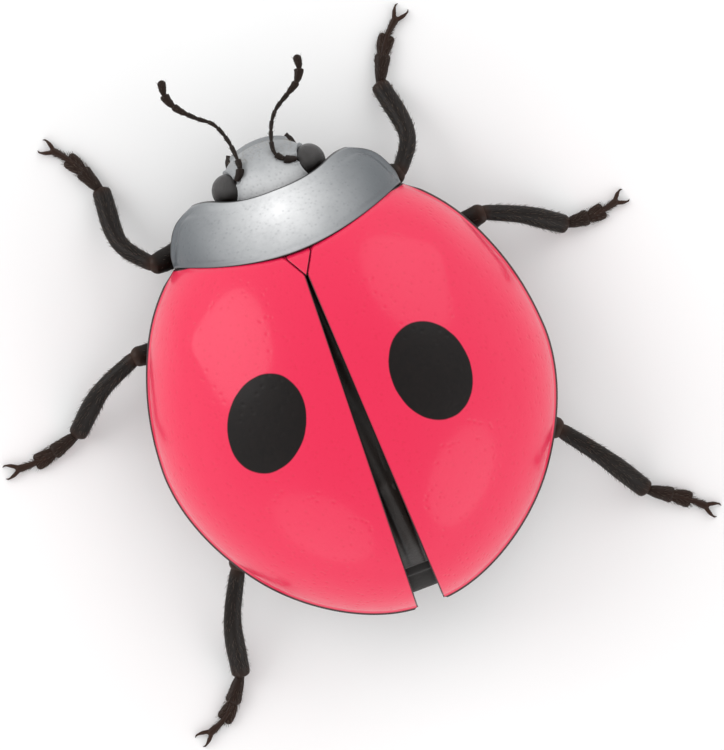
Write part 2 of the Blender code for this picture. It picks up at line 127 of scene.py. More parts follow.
# A feeler's middle line in plan and height, from its socket to its tip
FEELERS = {
    "left": ((0.335, -1.16, 1.36), (0.265, -1.24, 1.385), (0.245, -1.36, 1.35), (0.270, -1.60, 1.27),
             (0.35, -1.80, 1.22), (0.50, -1.93, 1.17), (0.65, -2.09, 1.15), (0.72, -2.25, 1.12),
             (0.70, -2.43, 1.10)),
    "right": ((-0.335, -1.16, 1.36), (-0.22, -1.20, 1.40), (-0.14, -1.32, 1.37), (-0.20, -1.55, 1.28),
              (-0.31, -1.71, 1.22), (-0.48, -1.82, 1.17), (-0.62, -1.91, 1.15), (-0.70, -2.04, 1.12),
              (-0.72, -2.18, 1.10)),
}
# Each of the eleven parts of a feeler: where it ends along the line, and its widest radius
FEELER_PARTS = ((0.095, 0.046), (0.165, 0.036), (0.275, 0.026), (0.36, 0.024), (0.44, 0.024), (0.52, 0.024),
                (0.60, 0.025), (0.68, 0.028), (0.79, 0.040), (0.895, 0.050), (1.0, 0.047))
FIRST_CLUB_PART = 8
# The height to the width of a part of the stalk or of the club, and its radius along it
STALK_SHAPE = (0.96, ((0, 0.66), (0.7, 0.96), (1, 1.0)))
CLUB_SHAPE = (0.74, ((0, 0.50), (0.45, 0.84), (0.85, 1.0), (1, 0.98)))

BELLY_Z = 0.52                  # the belly's lowest line
WAIST_Z = 0.825                 # where the trunk is widest
TRUNK_FRONT_Y = -0.35
TRUNK_CUTS = (own_box("metathorax")[0].y, BELLY_LOW.y)
TRUNK_SIDES = 260
SLICE_GAP = 0.012               # from the rear end of a slice of the trunk to the cut
SLICE_TUCK = 0.03               # the next slice starts twice this ahead of it and steps out on the way
BELLY_RINGS = (1.72, 2.10, 2.45, 2.78, 3.10, 3.34)     # where each belly plate ends, at the middle

HIP_Z, THIGH_Z, KNEE_Z, SHIN_Z, ANKLE_Z, FOOT_Z, CLAW_Z = 0.43, 0.45, 0.60, 0.40, 0.115, 0.062, 0.020
# Half widths along the parts of a leg as (share of the way, width), and each part's height to its width.
# The foot's place its hairs only; its shapes are in FOOT_PARTS.
THIGH = ((0, 0.095), (0.16, 0.125), (0.48, 0.152), (0.80, 0.122), (0.92, 0.108), (1, 0.100))
SHIN = ((0, 0.066), (0.10, 0.082), (0.34, 0.088), (0.72, 0.104), (0.94, 0.100), (1, 0.092))
FOOT = ((0, 0.045), (0.32, 0.080), (0.58, 0.082), (0.64, 0.032), (0.85, 0.040), (1, 0.03))
THIGH_FLAT, SHIN_FLAT, FOOT_FLAT = 0.80, 0.86, 0.60
FOOT_POINTS = 201               # on the foot's line
CLAW_START = 164                # the point of it where the claws begin
# The form of one lobe of a foot's pad, as Surface.limb takes it
PAD_LOBE = (((0, 0.030), (0.6, 0.047), (1, 0.044)), 0.72, (0.03, 0.045), 30, 24, (0.35, 0.2, 0.1))
# A foot's wedge, its pad's two lobes, the link between them and its last part: the first point of its
# line that each covers and the point it stops before, how far aside and up it stands, and its form
FOOT_PARTS = (
    (0, 81, 0, -0.006, (((0, 0.042), (0.5, 0.070), (0.85, 0.084), (1, 0.078)), 0.62, (0.03, 0.045),
                        36, 28, (0.25, 0.3, 0.1))),
    (66, 125, 0.046, -0.014, PAD_LOBE),
    (66, 125, -0.046, -0.014, PAD_LOBE),
    (66, 109, 0, -0.004, (((0, 0.032), (1, 0.036)), 0.9, (0.02, 0.03), 24, 20, (0.35, 0.2, 0))),
    (92, 173, 0, 0.006, (((0, 0.024), (0.5, 0.031), (0.85, 0.040), (1, 0.038)), 0.92, (0.02, 0.030),
                         34, 22, (0.45, 0.2, 0.2))),
)

LEG_SEED = 343                  # with the sum of its name's letters, the seed of a leg's hairs
HAIR_PATCH = 0.003              # width of a hair's patch on its piece's map

FLOOR_HALF = 1.5                # metres
LAMP_SIZE, LAMP_DISTANCE = 0.120, 0.16          # metres
# Each lamp's power in watts and its heading from the body
LAMPS = (
    ("window_front_left", 0.075, (0.66, -0.56, 0.52)),
    ("window_front_right", 0.040, (-0.66, -0.56, 0.52)),
    ("window_rear_left", 0.030, (0.55, 0.72, 0.42)),
    ("window_rear_right", 0.040, (-0.55, 0.72, 0.42)),
)
VIEW_CENTRE = (-0.172, 1.200)   # the place below the view's middle
VIEW_HEIGHT = 7.875             # height of the view at the floor
VIEW_TURN = math.radians(20.83)     # how far the head is turned to the left of the view's top
CAMERA_DISTANCE = 0.30          # metres


# ---- numbers and curves ----

def step(x, low, high):
    """The cubic step 3t² - 2t³, where t is how far x has come from low to high."""
    t = np.clip((x - low) / (high - low), 0.0, 1.0)
    return t * t * (3 - 2 * t)


def hump(distance):
    """The bell curve exp(-d²)."""
    return np.exp(-distance * distance)


def bells(distance, *each):
    """A sum of bell curves along a distance; each is (height, place, width)."""
    return sum(height * hump((distance - place) / width) for height, place, width in each)


def power(value, exponent):
    """A power of the size of a value, with its sign kept."""
    return np.sign(value) * np.abs(value) ** exponent


def rolled(distance, radius):
    """How far an edge drops where it is rounded over, as a quarter circle of that radius."""
    return radius * (1 - np.sqrt(1 - np.clip(1 - distance / radius, 0, 1) ** 2))


def eased(share, stations):
    """A value that moves by a cubic step from each station to the next; a station is (share, value)."""
    places, values = np.array(stations, float).T
    share = np.clip(share, places[0], places[-1])
    after = np.clip(np.searchsorted(places, share, side="right"), 1, len(places) - 1)
    blend = step(share, places[after - 1], places[after])
    return values[after - 1] + (values[after] - values[after - 1]) * blend


def points(*axes):
    """Coordinates that broadcast together, as one array of points."""
    return np.stack(np.broadcast_arrays(*axes), axis=-1).astype(float)


def circle(count):
    """Angles that go evenly once round."""
    return np.linspace(0, 2 * math.pi, count, endpoint=False)


def unit(vectors):
    """Vectors scaled to length 1."""
    return vectors / np.maximum(np.linalg.norm(vectors, axis=-1, keepdims=True), 1e-12)


def gathered(rows):
    """A list of rows of arrays, as one array for each column."""
    return [np.concatenate(column) for column in zip(*rows)]


def curve(through, count):
    """A smooth curve through points, as count points spaced evenly along it.

    Between two points it is the Catmull-Rom cubic: at each point it heads along the line between that
    point's neighbours. The curve is then sampled again by its own length."""
    knots = np.asarray(through, float)
    ends = np.concatenate([[2 * knots[0] - knots[1]], knots, [2 * knots[-1] - knots[-2]]])
    t = np.linspace(0, 1, 24, endpoint=False)[None, :, None]
    before, start, end, after = [ends[i:len(ends) - 3 + i][:, None] for i in range(4)]
    dense = 0.5 * (2 * start + (end - before) * t + (2 * before - 5 * start + 4 * end - after) * t ** 2
                   + (3 * start - before - 3 * end + after) * t ** 3)
    dense = np.concatenate([dense.reshape(-1, knots.shape[1]), knots[-1:]])
    lengths = np.concatenate([[0.0], np.cumsum(np.linalg.norm(np.diff(dense, axis=0), axis=1))])
    wanted = np.linspace(0, lengths[-1], count)
    return np.stack([np.interp(wanted, lengths, column) for column in dense.T], axis=1)


def drawn(cubes):
    """Three fixed fractions for each whole-number triple, by multiplying it out and folding its bits."""
    mixed = (cubes * np.array([73856093, 19349663, 83492791])).sum(-1)
    found = []
    for salt in (1, 2, 3):
        value = (mixed ^ (salt * 0x9E3779B1)) & 0xFFFFFFFF
        for _ in range(2):
            value = ((value ^ (value >> 16)) * 0x45D9F3B) & 0xFFFFFFFF
        found.append((value ^ (value >> 16)) / 2.0 ** 32)
    return np.stack(found, axis=-1)


def pits(places, spacing, radius):
    """How deep, from 0 to 1, each place lies in a field of pits.

    Each cube of a lattice of that spacing holds one fixed random point. At distance d from the nearest
    of them a place is (1 - (d / radius)²)² deep, and past the radius it isn't in a pit."""
    at = places.reshape(-1, 3) / spacing
    base = np.floor(at).astype(np.int64)
    nearest = np.full(len(at), 9.0)
    for offset in np.ndindex(3, 3, 3):
        cube = base + np.array(offset) - 1
        nearest = np.minimum(nearest, ((cube + drawn(cube) - at) ** 2).sum(-1))
    depth = np.clip(1 - nearest * (spacing / radius) ** 2, 0, 1) ** 2
    return depth.reshape(places.shape[:-1])


def swell(places, size, seed):
    """A gentle unevenness from -1 to 1: the mean of four sine waves about size long, in fixed headings."""
    rng = np.random.default_rng(seed)
    headings = unit(rng.normal(size=(4, 3))) * (2 * math.pi / size)
    return np.sin(places @ headings.T + rng.uniform(0, 6.28, 4)).mean(-1)


def grid_normals(grid):
    """The unit normals of a grid of points: the cross product of its two directions of travel."""
    return unit(np.cross(np.gradient(grid, axis=0), np.gradient(grid, axis=1)))


# ---- surfaces ----

def path_frames(line):
    """At each point of a path: the way ahead, the level way across it, and the way up from both."""
    ahead = unit(np.gradient(line, axis=0))
    across = unit(np.cross(ahead, np.array([0.0, 0.0, 1.0])))
    return ahead, across, np.cross(across, ahead)


def path_rings(line, wide, high, sides):
    """Rings across a path: an ellipse with those half sizes, across and upwards, at each point."""
    _, across, above = path_frames(line)
    turn = circle(sides)[:, None]
    wide, high = [np.broadcast_to(half, len(line))[:, None, None] for half in (wide, high)]
    return line[:, None] + np.cos(turn) * across[:, None] * wide + np.sin(turn) * above[:, None] * high


def shares(count):
    """Shares from 0 to 1, crowded towards both ends as half a cosine wave."""
    return (1 - np.cos(np.linspace(0, math.pi, count))) / 2


def sampled(line, share):
    """A path's points at given shares of the way along it."""
    at = np.asarray(share) * (len(line) - 1)
    return np.stack([np.interp(at, np.arange(len(line)), column) for column in line.T], axis=1)


def stretched(line, back, ahead):
    """A path made longer at its two ends, straight on."""
    start = line[0] - unit(line[1] - line[0]) * back
    end = line[-1] + unit(line[-1] - line[-2]) * ahead
    return curve(np.concatenate([start[None], line[2:-2], end[None]]), len(line))


def rounded(share, length, near, far):
    """The scale of a section along a part of that length: a quarter ellipse over the distance near from
    its start and over far from its end."""
    start = np.clip(share * length / near, 0, 1)
    end = np.clip((1 - share) * length / far, 0, 1)
    return np.sqrt(np.maximum(1 - (1 - start) ** 2, 2e-3) * np.maximum(1 - (1 - end) ** 2, 2e-3))


def ball(t, turn):
    """A ball of radius 1 with its poles along x: (cos t, sin t cos turn, sin t sin turn)."""
    return points(np.cos(t), np.sin(t) * np.cos(turn), np.sin(t) * np.sin(turn))


def ball_rings(centre, half, rings, sides):
    """Rings round a ball that is stretched to three half sizes."""
    t = np.linspace(0, math.pi, rings + 2)[1:-1, None]
    return ball(t, circle(sides)) * np.array(half) + np.array(centre)


def grid_faces(numbers, low, size, order):
    """The quads of a grid of point numbers, with their corners in that order, and the corners' places in
    a part of the unit map: its lowest corner and its size."""
    rows, columns = [count - 1 for count in numbers.shape]
    row, column = [a.ravel() for a in np.meshgrid(np.arange(rows), np.arange(columns), indexing="ij")]
    quads = np.stack([numbers[row + a, column + b] for a, b in order], axis=1)
    maps = np.stack([points(low[0] + size[0] * (column + b) / columns, low[1] + size[1] * (row + a) / rows)
                     for a, b in order], axis=1)
    return quads, maps


def placed(name, data):
    """A new object in the scene that holds the data."""
    made = bpy.data.objects.new(name, data)
    bpy.context.scene.collection.objects.link(made)
    return made


class Surface:
    """Closed shapes gathered for one piece, each with a place of its own on the piece's map."""

    def __init__(self):
        self.parts = []

    def add(self, places, faces, maps, attributes):
        """One closed shape: its points, its arrays of faces, their corners' places on a unit map, and
        its attributes' values.

        The faces are turned round if the volume they hold, the sum of each triangle's triple product,
        comes out negative."""
        volume = 0.0
        for face in faces:
            first = places[face[:, 0]]
            for second, third in zip(face.T[1:-1], face.T[2:]):
                volume += (first * np.cross(places[second], places[third])).sum()
        if volume < 0:
            faces = [face[:, ::-1] for face in faces]
            maps = [corner[:, ::-1] for corner in maps]
        self.parts.append((places, faces, maps, attributes))
        return self

    def tube(self, rings, **attributes):
        """Closed rings of points carried along a path, with a pole at the middle of each end ring."""
        count, sides = rings.shape[:2]
        places = np.concatenate([rings.reshape(-1, 3), rings[0].mean(0)[None], rings[-1].mean(0)[None]])
        numbers = np.pad(np.arange(count * sides).reshape(count, sides), ((0, 0), (0, 1)), mode="wrap")
        quads, on_map = grid_faces(numbers, (0.0, 0.04), (1.0, 0.92), COLUMNS_FIRST)
        faces, maps = [quads], [on_map]
        start = np.arange(sides) / sides
        side = np.stack([start, start + 1 / sides], axis=1)
        for end, ring, border, turn in ((0, numbers[0], 0.04, -1), (1, numbers[-1], 0.96, 1)):
            pair = np.stack([ring[:-1], ring[1:]], axis=1)[:, ::turn]
            faces.append(np.insert(pair, 2, count * sides + end, axis=1))
            maps.append(points(np.column_stack([side[:, ::turn], side.mean(1)]), [border, border, end]))
        for key, value in attributes.items():
            attributes[key] = np.append(np.broadcast_to(value, (count, sides)), [0.0, 0.0])
        return self.add(places, faces, maps, attributes)

    def plate(self, outer, depth, skip, **attributes):
        """A thin closed wall. Its inner face is every so many rows and columns of the outer grid, moved
        inwards by the depth against the outer grid's normals; a band of polygons joins the two borders."""
        shape = rows, columns = outer.shape[:2]
        outward = grid_normals(outer)
        middle = rows // 2, columns // 2
        if (outward[middle] * (outer.reshape(-1, 3).mean(0) - outer[middle])).sum() > 0:
            outward = -outward
        inner = (outer - outward * np.broadcast_to(depth, shape)[..., None])[::skip, ::skip]
        outside = np.arange(rows * columns).reshape(shape)
        inside = rows * columns + np.arange(inner[..., 0].size).reshape(inner.shape[:2])
        top, top_map = grid_faces(outside, (0.0, 0.0), (0.80, 1.0), ROWS_FIRST)
        under, under_map = grid_faces(inside, (0.82, 0.0), (0.12, 1.0), ROWS_FIRST)
        faces, maps = [top, under[:, ::-1]], [top_map, under_map[:, ::-1]]
        for border in range(4):
            rim, lining = np.rot90(outside, border)[0], np.rot90(inside, border)[0]
            start = np.arange(len(lining) - 1)
            low, high = (border + start / len(start)) / 4, (border + (start + 1) / len(start)) / 4
            face, on_map = [lining[1:], lining[:-1]], [points(1.0, high), points(1.0, low)]
            for i in range(skip + 1):
                face.append(rim[start * skip + i])
                on_map.append(points(0.96, low + (high - low) * i / skip))
            faces.append(np.stack(face, axis=1))
            maps.append(np.stack(on_map, axis=1))
        for key, value in attributes.items():
            whole = np.broadcast_to(value, shape)
            attributes[key] = np.append(whole, whole[::skip, ::skip])
        places = np.concatenate([outer.reshape(-1, 3), inner.reshape(-1, 3)])
        return self.add(places, faces, maps, attributes)

    def limb(self, line, stations, flat, ends, count, sides, warm):
        """One part of a limb: its half width passes through the stations (share, width), its height is
        flat times as much, it is rounded over two lengths at its ends, and nothing of it goes below the
        floor. warm is how brown it is in general, and how much more at its start and at its end."""
        share = shares(count)
        length = np.linalg.norm(np.diff(line, axis=0), axis=1).sum()
        size = eased(share, stations) * rounded(share, length, *ends)
        rings = path_rings(sampled(line, share), size, size * flat, sides)
        rings[..., 2] = np.maximum(rings[..., 2], 0.0)
        colour = warm[0] + warm[1] * step(share, 0.14, 0.0) + warm[2] * step(share, 0.86, 1.0)
        return self.tube(rings, warm=colour[:, None])

    def build(self, name, finish, slot, node=None):
        """Makes the piece: joins the shapes, lays their maps side by side in squares, and lets it ride.
        It stands for the node, if one is named."""
        squares = math.ceil(math.sqrt(len(self.parts)))
        loops, totals, maps = [], [], []
        offset = 0
        for number, (places, faces, corners, _) in enumerate(self.parts):
            corner = np.array([number % squares, number // squares]) / squares
            for face, on_map in zip(faces, corners):
                loops.append((face + offset).ravel())
                totals.append(np.full(len(face), face.shape[1]))
                maps.append((corner + (0.02 + 0.96 * on_map) / squares).reshape(-1, 2))
            offset += len(places)
        places = np.concatenate([part[0] for part in self.parts]) * MM + np.array(ORIGIN)
        loops, totals, maps = [np.concatenate(each) for each in (loops, totals, maps)]
        mesh = bpy.data.meshes.new(name)
        mesh.vertices.add(len(places))
        mesh.vertices.foreach_set("co", places.astype(np.float32).ravel())
        mesh.loops.add(len(loops))
        mesh.loops.foreach_set("vertex_index", loops.astype(np.int32))
        mesh.polygons.add(len(totals))
        mesh.polygons.foreach_set("loop_start", (np.cumsum(totals) - totals).astype(np.int32))
        mesh.update(calc_edges=True)
        mesh.uv_layers.new(name="OFBake").uv.foreach_set("vector", maps.astype(np.float32).ravel())
        for key in sorted({key for part in self.parts for key in part[3]}):
            values = [part[3].get(key, np.zeros(len(part[0]))) for part in self.parts]
            layer = mesh.attributes.new(key, "FLOAT", "POINT")
            layer.data.foreach_set("value", np.concatenate(values).astype(np.float32))
        mesh.validate()
        mesh.shade_smooth()
        mesh.materials.append(finish)
        piece = placed(name, mesh)
        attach(piece, "root")
        if node:
            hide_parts(node)


def hairs(name, finish, slot, thickness, roots, headings, lengths, skin):
    """A piece of tapered hairs that bend a little towards the floor: each a base triangle, a narrower
    one and a tip. skin is each root's place on an unwrap of the surface it grows from, where its patch
    of the map lies."""
    ahead = unit(headings)
    across = unit(np.cross(ahead, np.array([0.31, 0.22, 0.92])))
    turn = circle(3)[:, None]
    ring = (np.cos(turn) * across[:, None] + np.sin(turn) * np.cross(across, ahead)[:, None]) * thickness
    lengths = lengths[:, None]
    base = (roots - ahead * 0.004)[:, None] + ring
    waist = (roots + ahead * lengths * 0.55)[:, None] + ring * 0.65
    tip = roots + (ahead - np.array([0, 0, 0.18])) * lengths
    places = np.concatenate([base, waist, tip[:, None]], axis=1)
    count, each = places.shape[:2]
    first = np.arange(count)[:, None, None] * each
    faces, maps = [], []
    for shape in ([[0, 1, 4, 3], [1, 2, 5, 4], [2, 0, 3, 5]], [[2, 1, 0], [3, 4, 6], [4, 5, 6], [5, 3, 6]]):
        corners = len(shape[0])
        patch = HAIR_PATCH * np.array([[0, 0], [1, 0], [1, 1], [0, 1]])[:corners]
        faces.append((first + np.array(shape)).reshape(-1, corners))
        maps.append(np.repeat(skin * (1 - HAIR_PATCH), len(shape), axis=0)[:, None] + patch)
    Surface().add(places.reshape(-1, 3), faces, maps, {}).build(name, finish, slot)


# ---- finishes ----

def operator(operation, reflected=False):
    """A method that adds the Math node of an operation on a field and another value."""
    def method(self, other):
        first, second = (other, self) if reflected else (self, other)
        return self.nodes.add("ShaderNodeMath", {"operation": operation}, {0: first, 1: second})
    return method


class Field:
    """A shader value that changes from place to place. Arithmetic on it adds Math nodes."""

    def __init__(self, nodes, socket):
        self.nodes, self.socket = nodes, socket

    __add__, __radd__ = operator("ADD"), operator("ADD", True)
    __sub__, __rsub__ = operator("SUBTRACT"), operator("SUBTRACT", True)
    __mul__, __rmul__ = operator("MULTIPLY"), operator("MULTIPLY", True)
    __truediv__, __rtruediv__ = operator("DIVIDE"), operator("DIVIDE", True)
    __pow__, __rpow__ = operator("POWER"), operator("POWER", True)
    most = operator("MAXIMUM")

    def step(self, low, high):
        """0 at low and 1 at high, by a cubic step."""
        return self.nodes.add("ShaderNodeMapRange", {"interpolation_type": "SMOOTHSTEP"},
                              {"Value": self, "From Min": low, "From Max": high})


class Nodes:
    """Adds nodes to a tree of them."""

    def __init__(self, tree):
        self.tree = tree

    def add(self, kind, settings=None, inputs=None, output=0):
        """Adds a node: its type, its settings, and the values or fields of its sockets."""
        node = self.tree.nodes.new(kind)
        for key, value in (settings or {}).items():
            setattr(node, key, value)
        for key, value in (inputs or {}).items():
            self.feed(node.inputs[key], value)
        return Field(self, node.outputs[output])

    def feed(self, socket, value):
        """Links a field to a socket, or sets the socket's own value."""
        if isinstance(value, Field):
            self.tree.links.new(value.socket, socket)
        else:
            socket.default_value = value


class Finish(Nodes):
    """A surface finish: one Principled shader, and the nodes that vary it."""

    def __init__(self, name, **constants):
        self.material = bpy.data.materials.new(name)
        self.material.use_nodes = True
        super().__init__(self.material.node_tree)
        self.shader = self.tree.nodes["Principled BSDF"]
        for key, value in constants.items():
            self.shader.inputs[key.replace("_", " ")].default_value = value
        self.place = self.add("ShaderNodeTexCoord", output="Object")

    def texture(self, kind, size, **inputs):
        """A texture's value, with features about size millimetres across."""
        return self.add("ShaderNodeTex" + kind, None, {
            "Vector": self.place, "Scale": 1 / (size * MM), **inputs})

    def noise(self, size, detail=2.0, roughness=0.5):
        """Soft noise about 0.5."""
        return self.texture("Noise", size, Detail=detail, Roughness=roughness)

    def cells(self, size):
        """Distance from the nearest point of a scatter."""
        return self.texture("Voronoi", size)

    def own(self, axis):
        """A coordinate in the animal's own millimetres."""
        apart = self.add("ShaderNodeSeparateXYZ", None, {0: self.place}, axis)
        return (apart - ORIGIN["XYZ".index(axis)]) * (1 / MM)

    def attribute(self, name):
        """The value of one of the piece's own attributes."""
        return self.add("ShaderNodeAttribute", {"attribute_name": name}, output="Fac")

    def mixed(self, colour, *layers):
        """A colour with others laid over it in turn; a layer is (share, colour)."""
        for share, layer in layers:
            pair = [value if isinstance(value, Field) else (*value, 1.0) for value in (colour, layer)]
            colour = self.add("ShaderNodeMix", {"data_type": "RGBA"}, {0: share, 6: pair[0], 7: pair[1]}, 2)
        return colour

    def complete(self, colour, rough, coat=None, relief=None):
        """Feeds the shader and returns the material. The roughness is noise, given as its size, span and
        least value; the relief is a height field and its depth in millimetres."""
        size, span, least = rough
        self.feed(self.shader.inputs["Base Color"], colour)
        self.feed(self.shader.inputs["Roughness"], self.noise(size) * span + least)
        if coat:
            self.feed(self.shader.inputs["Coat Weight"], coat)
        if relief:
            self.feed(self.shader.inputs["Normal"], self.add("ShaderNodeBump", None, {
                "Height": relief[0], "Distance": relief[1] * MM, "Strength": 1.0}))
        return self.material


def case_finish():
    """Glossy pinkish red shell with a black spot on each side and a fine dark edge."""
    finish = Finish("wing_case_red", Coat_Roughness=0.14, Coat_IOR=1.45, IOR=1.25)
    x, y = finish.own("X"), finish.own("Y")
    wobble = (finish.noise(0.22) - 0.5) * 0.03
    spot = 0.0
    for (cx, cy), (narrow, broad), (hx, hy) in SPOTS:
        size = math.hypot(hx, hy)
        along = ((x - cx) * hx + (y - cy) * hy) / size
        aside = ((x - cx) * hy - (y - cy) * hx) / size
        reach = ((along / broad) ** 2 + (aside / narrow) ** 2) ** 0.5 + wobble
        spot = (1 - reach.step(0.983, 1.017)).most(spot)
    edge, grain = finish.attribute("edge"), finish.noise(0.07)
    mottled = finish.mixed((0.84, 0.021, 0.099), (finish.noise(0.9, 3.0), (0.94, 0.036, 0.136)),
                           (grain.step(0.3, 0.7) * 0.18, (0.75, 0.014, 0.072)))
    red = finish.mixed((0.72, 0.014, 0.066), (finish.cells(0.055).step(0.10, 0.30) * 0.10, mottled),
                       (finish.attribute("pit") * 0.22, (0.50, 0.008, 0.022)), (edge, (0.016, 0.005, 0.005)))
    black = finish.mixed((0.003, 0.0022, 0.0022), (grain, (0.008, 0.005, 0.0045)))
    return finish.complete(
        finish.mixed(red, (spot, black)), (0.12, 0.12, 0.36), (1 - edge * 0.6) * (1 - spot * 0.84) * 0.58,
        (finish.noise(0.022, 3.0) + finish.cells(0.035) * 0.5, 0.0009))


def shield_finish():
    """Satin slate grey shell with a dark edge and a painted highlight: near white round its crown."""
    finish = Finish("shield_grey", Coat_Roughness=0.18, IOR=1.42)
    x, y = finish.own("X"), finish.own("Y")
    # crown is a painted highlight: the grey pales to near white towards a point over the shield's crown
    reach = ((x - 0.02) ** 2 + (y + 0.75) ** 2) ** 0.5 / 1.22
    crown = (1 - reach).most(0.0) ** 1.7
    edge = finish.attribute("edge")
    # Slate grey with the painted highlight's near white laid over it, then fine tone noise, pits and the
    # dark edge
    grey = finish.mixed(
        (0.070, 0.082, 0.092), (crown, (0.88, 0.885, 0.89)),
        (finish.noise(0.35, 3.0).step(0.35, 0.75) * 0.16, (0.10, 0.112, 0.124)),
        (finish.noise(0.05).step(0.4, 0.8) * 0.10, (0.07, 0.08, 0.09)),
        (finish.attribute("pit") * 0.22, (0.07, 0.08, 0.09)), (edge, (0.010, 0.009, 0.009)))
    return finish.complete(grey, (0.10, 0.14, 0.35), (1 - edge * 0.6) * 0.25,
                           (finish.noise(0.020, 3.0) + finish.cells(0.030) * 0.5, 0.0009))


def plate_finish():
    """Satin near-black belly plates with a fine grain, browner at their edges."""
    finish = Finish("belly_black", Coat_Roughness=0.22, IOR=1.42)
    black = finish.mixed((0.006, 0.005, 0.0045), (finish.noise(0.5, 3.0), (0.020, 0.012, 0.009)),
                         (finish.attribute("edge") * 0.7, (0.060, 0.022, 0.011)),
                         (finish.attribute("pit") * 0.5, (0.004, 0.003, 0.003)))
    return finish.complete(black, (0.09, 0.18, 0.32), finish.noise(0.8) * 0.2,
                           (finish.cells(0.028) + finish.noise(0.02) * 0.4, 0.0012))


def limb_finish():
    """Near-black brown legs and feelers, brown at the joints and on the feet."""
    finish = Finish("limb_brown_black", Coat_Roughness=0.2, IOR=1.24)
    brown = finish.mixed((0.003, 0.0022, 0.0019), (finish.noise(0.25, 3.0), (0.011, 0.0065, 0.0045)),
                         (finish.attribute("warm") * 0.8, (0.052, 0.020, 0.010)))
    return finish.complete(brown, (0.06, 0.2, 0.34), finish.noise(0.5) * 0.14,
                           (finish.cells(0.018) + finish.noise(0.014) * 0.5, 0.0010))


def eye_finish():
    """Glossy black facets with a faint brown cast between them."""
    finish = Finish("eye_black", Coat_Weight=0.5, Coat_Roughness=0.07, IOR=1.38)
    black = finish.mixed((0.003, 0.0025, 0.0025), (finish.noise(0.15), (0.009, 0.006, 0.005)),
                         (finish.attribute("groove") * 0.8, (0.030, 0.017, 0.012)))
    return finish.complete(black, (0.05, 0.1, 0.18))


def wing_finish():
    """Folded smoky membrane with darker veins and fine creases."""
    finish = Finish("wing_smoke", Coat_Roughness=0.3, IOR=1.38)
    smoke = finish.mixed((0.008, 0.005, 0.004), (finish.noise(0.3, 3.0), (0.024, 0.014, 0.010)),
                         (finish.attribute("vein"), (0.005, 0.003, 0.0025)))
    return finish.complete(smoke, (0.08, 0.2, 0.38), finish.noise(0.2) * 0.25,
                           (finish.noise(0.05, 4.0, 0.6), 0.004))


def hair_finish(name, dark, pale):
    """Fine hairs, varied from patch to patch."""
    finish = Finish(name, IOR=1.5)
    return finish.complete(finish.mixed(dark, (finish.noise(0.12), pale)), (0.2, 0.2, 0.4))


CASE_RED = case_finish()
SHIELD_GREY_PAINTED_HIGHLIGHT = shield_finish()
BELLY_BLACK = plate_finish()
LIMB_BROWN = limb_finish()
EYE_BLACK = eye_finish()
WING_SMOKE = wing_finish()
PALE_HAIR = hair_finish("pale_hair", (0.20, 0.165, 0.12), (0.38, 0.33, 0.25))
DARK_HAIR = hair_finish("dark_hair", (0.030, 0.020, 0.014), (0.11, 0.075, 0.05))


# ---- wing cases ----

def dome_end(ahead):
    """The dome's length from its centre and its power in plan, at the end towards the head or the tail."""
    return np.where(ahead, DOME_FRONT, DOME_REAR), np.where(ahead, DOME_FRONT_POWER, DOME_REAR_POWER)


def dome_z(x, y, inset=0.0):
    """Height of the closed dome over a place in plan, or of a smaller one inside it.

    The place's reach is (|x / a|^p + |y / b|^p)^(1/p), with the length b and power p of the end it lies
    towards, and the height is that of a quarter ellipse at that reach."""
    length, p = dome_end(y < DOME_CENTRE_Y)
    reach = (np.abs(x / (DOME_HALF_WIDTH - inset)) ** p
             + np.abs((y - DOME_CENTRE_Y) / (length - inset)) ** p) ** (1 / p)
    return RIM_Z + (DOME_HEIGHT - inset) * np.sqrt(np.maximum(0.0, 1 - reach * reach))


def rim_line(bearing):
    """The dome's rim in plan at a bearing, where 0 faces the head and pi the tail: x is a sin^(2/p) and
    y is b cos^(2/p)."""
    length, p = dome_end(np.cos(bearing) > 0)
    return points(DOME_HALF_WIDTH * power(np.sin(bearing), 2 / p),
                  DOME_CENTRE_Y - length * power(np.cos(bearing), 2 / p))


def swung(xy, opening=OPENING):
    """Plan places of the closed left half, turned open about the seam's front end."""
    x, y = xy[..., 0], xy[..., 1]
    c, s = math.cos(opening), math.sin(opening)
    return points(x * c + y * s + SEAM_GAP * np.sign(opening), y * c - x * s)


def closed(xy):
    """The place before it was swung open."""
    return swung(xy - np.array([SEAM_GAP, 0.0]), -OPENING) + np.array([SEAM_GAP, 0.0])


def shield_rear_y(x):
    """The shield's rear edge, which bows back in the middle."""
    out = np.abs(x) / SHIELD_HALF_WIDTH
    return SHIELD_REAR_MIDDLE_Y + (SHIELD_REAR_CORNER_Y - SHIELD_REAR_MIDDLE_Y) * out ** 1.9


def from_scutellum(xy):
    """Distance outside the scutellum's triangle in plan; less than 0 within it."""
    corner, tip = np.array([SCUTELLUM_HALF, SCUTELLUM_FRONT_Y]), np.array([0.0, SCUTELLUM_TIP_Y])
    slope = unit(tip - corner)
    return (np.abs(xy[..., 0]) - corner[0]) * slope[1] - (xy[..., 1] - corner[1]) * slope[0]


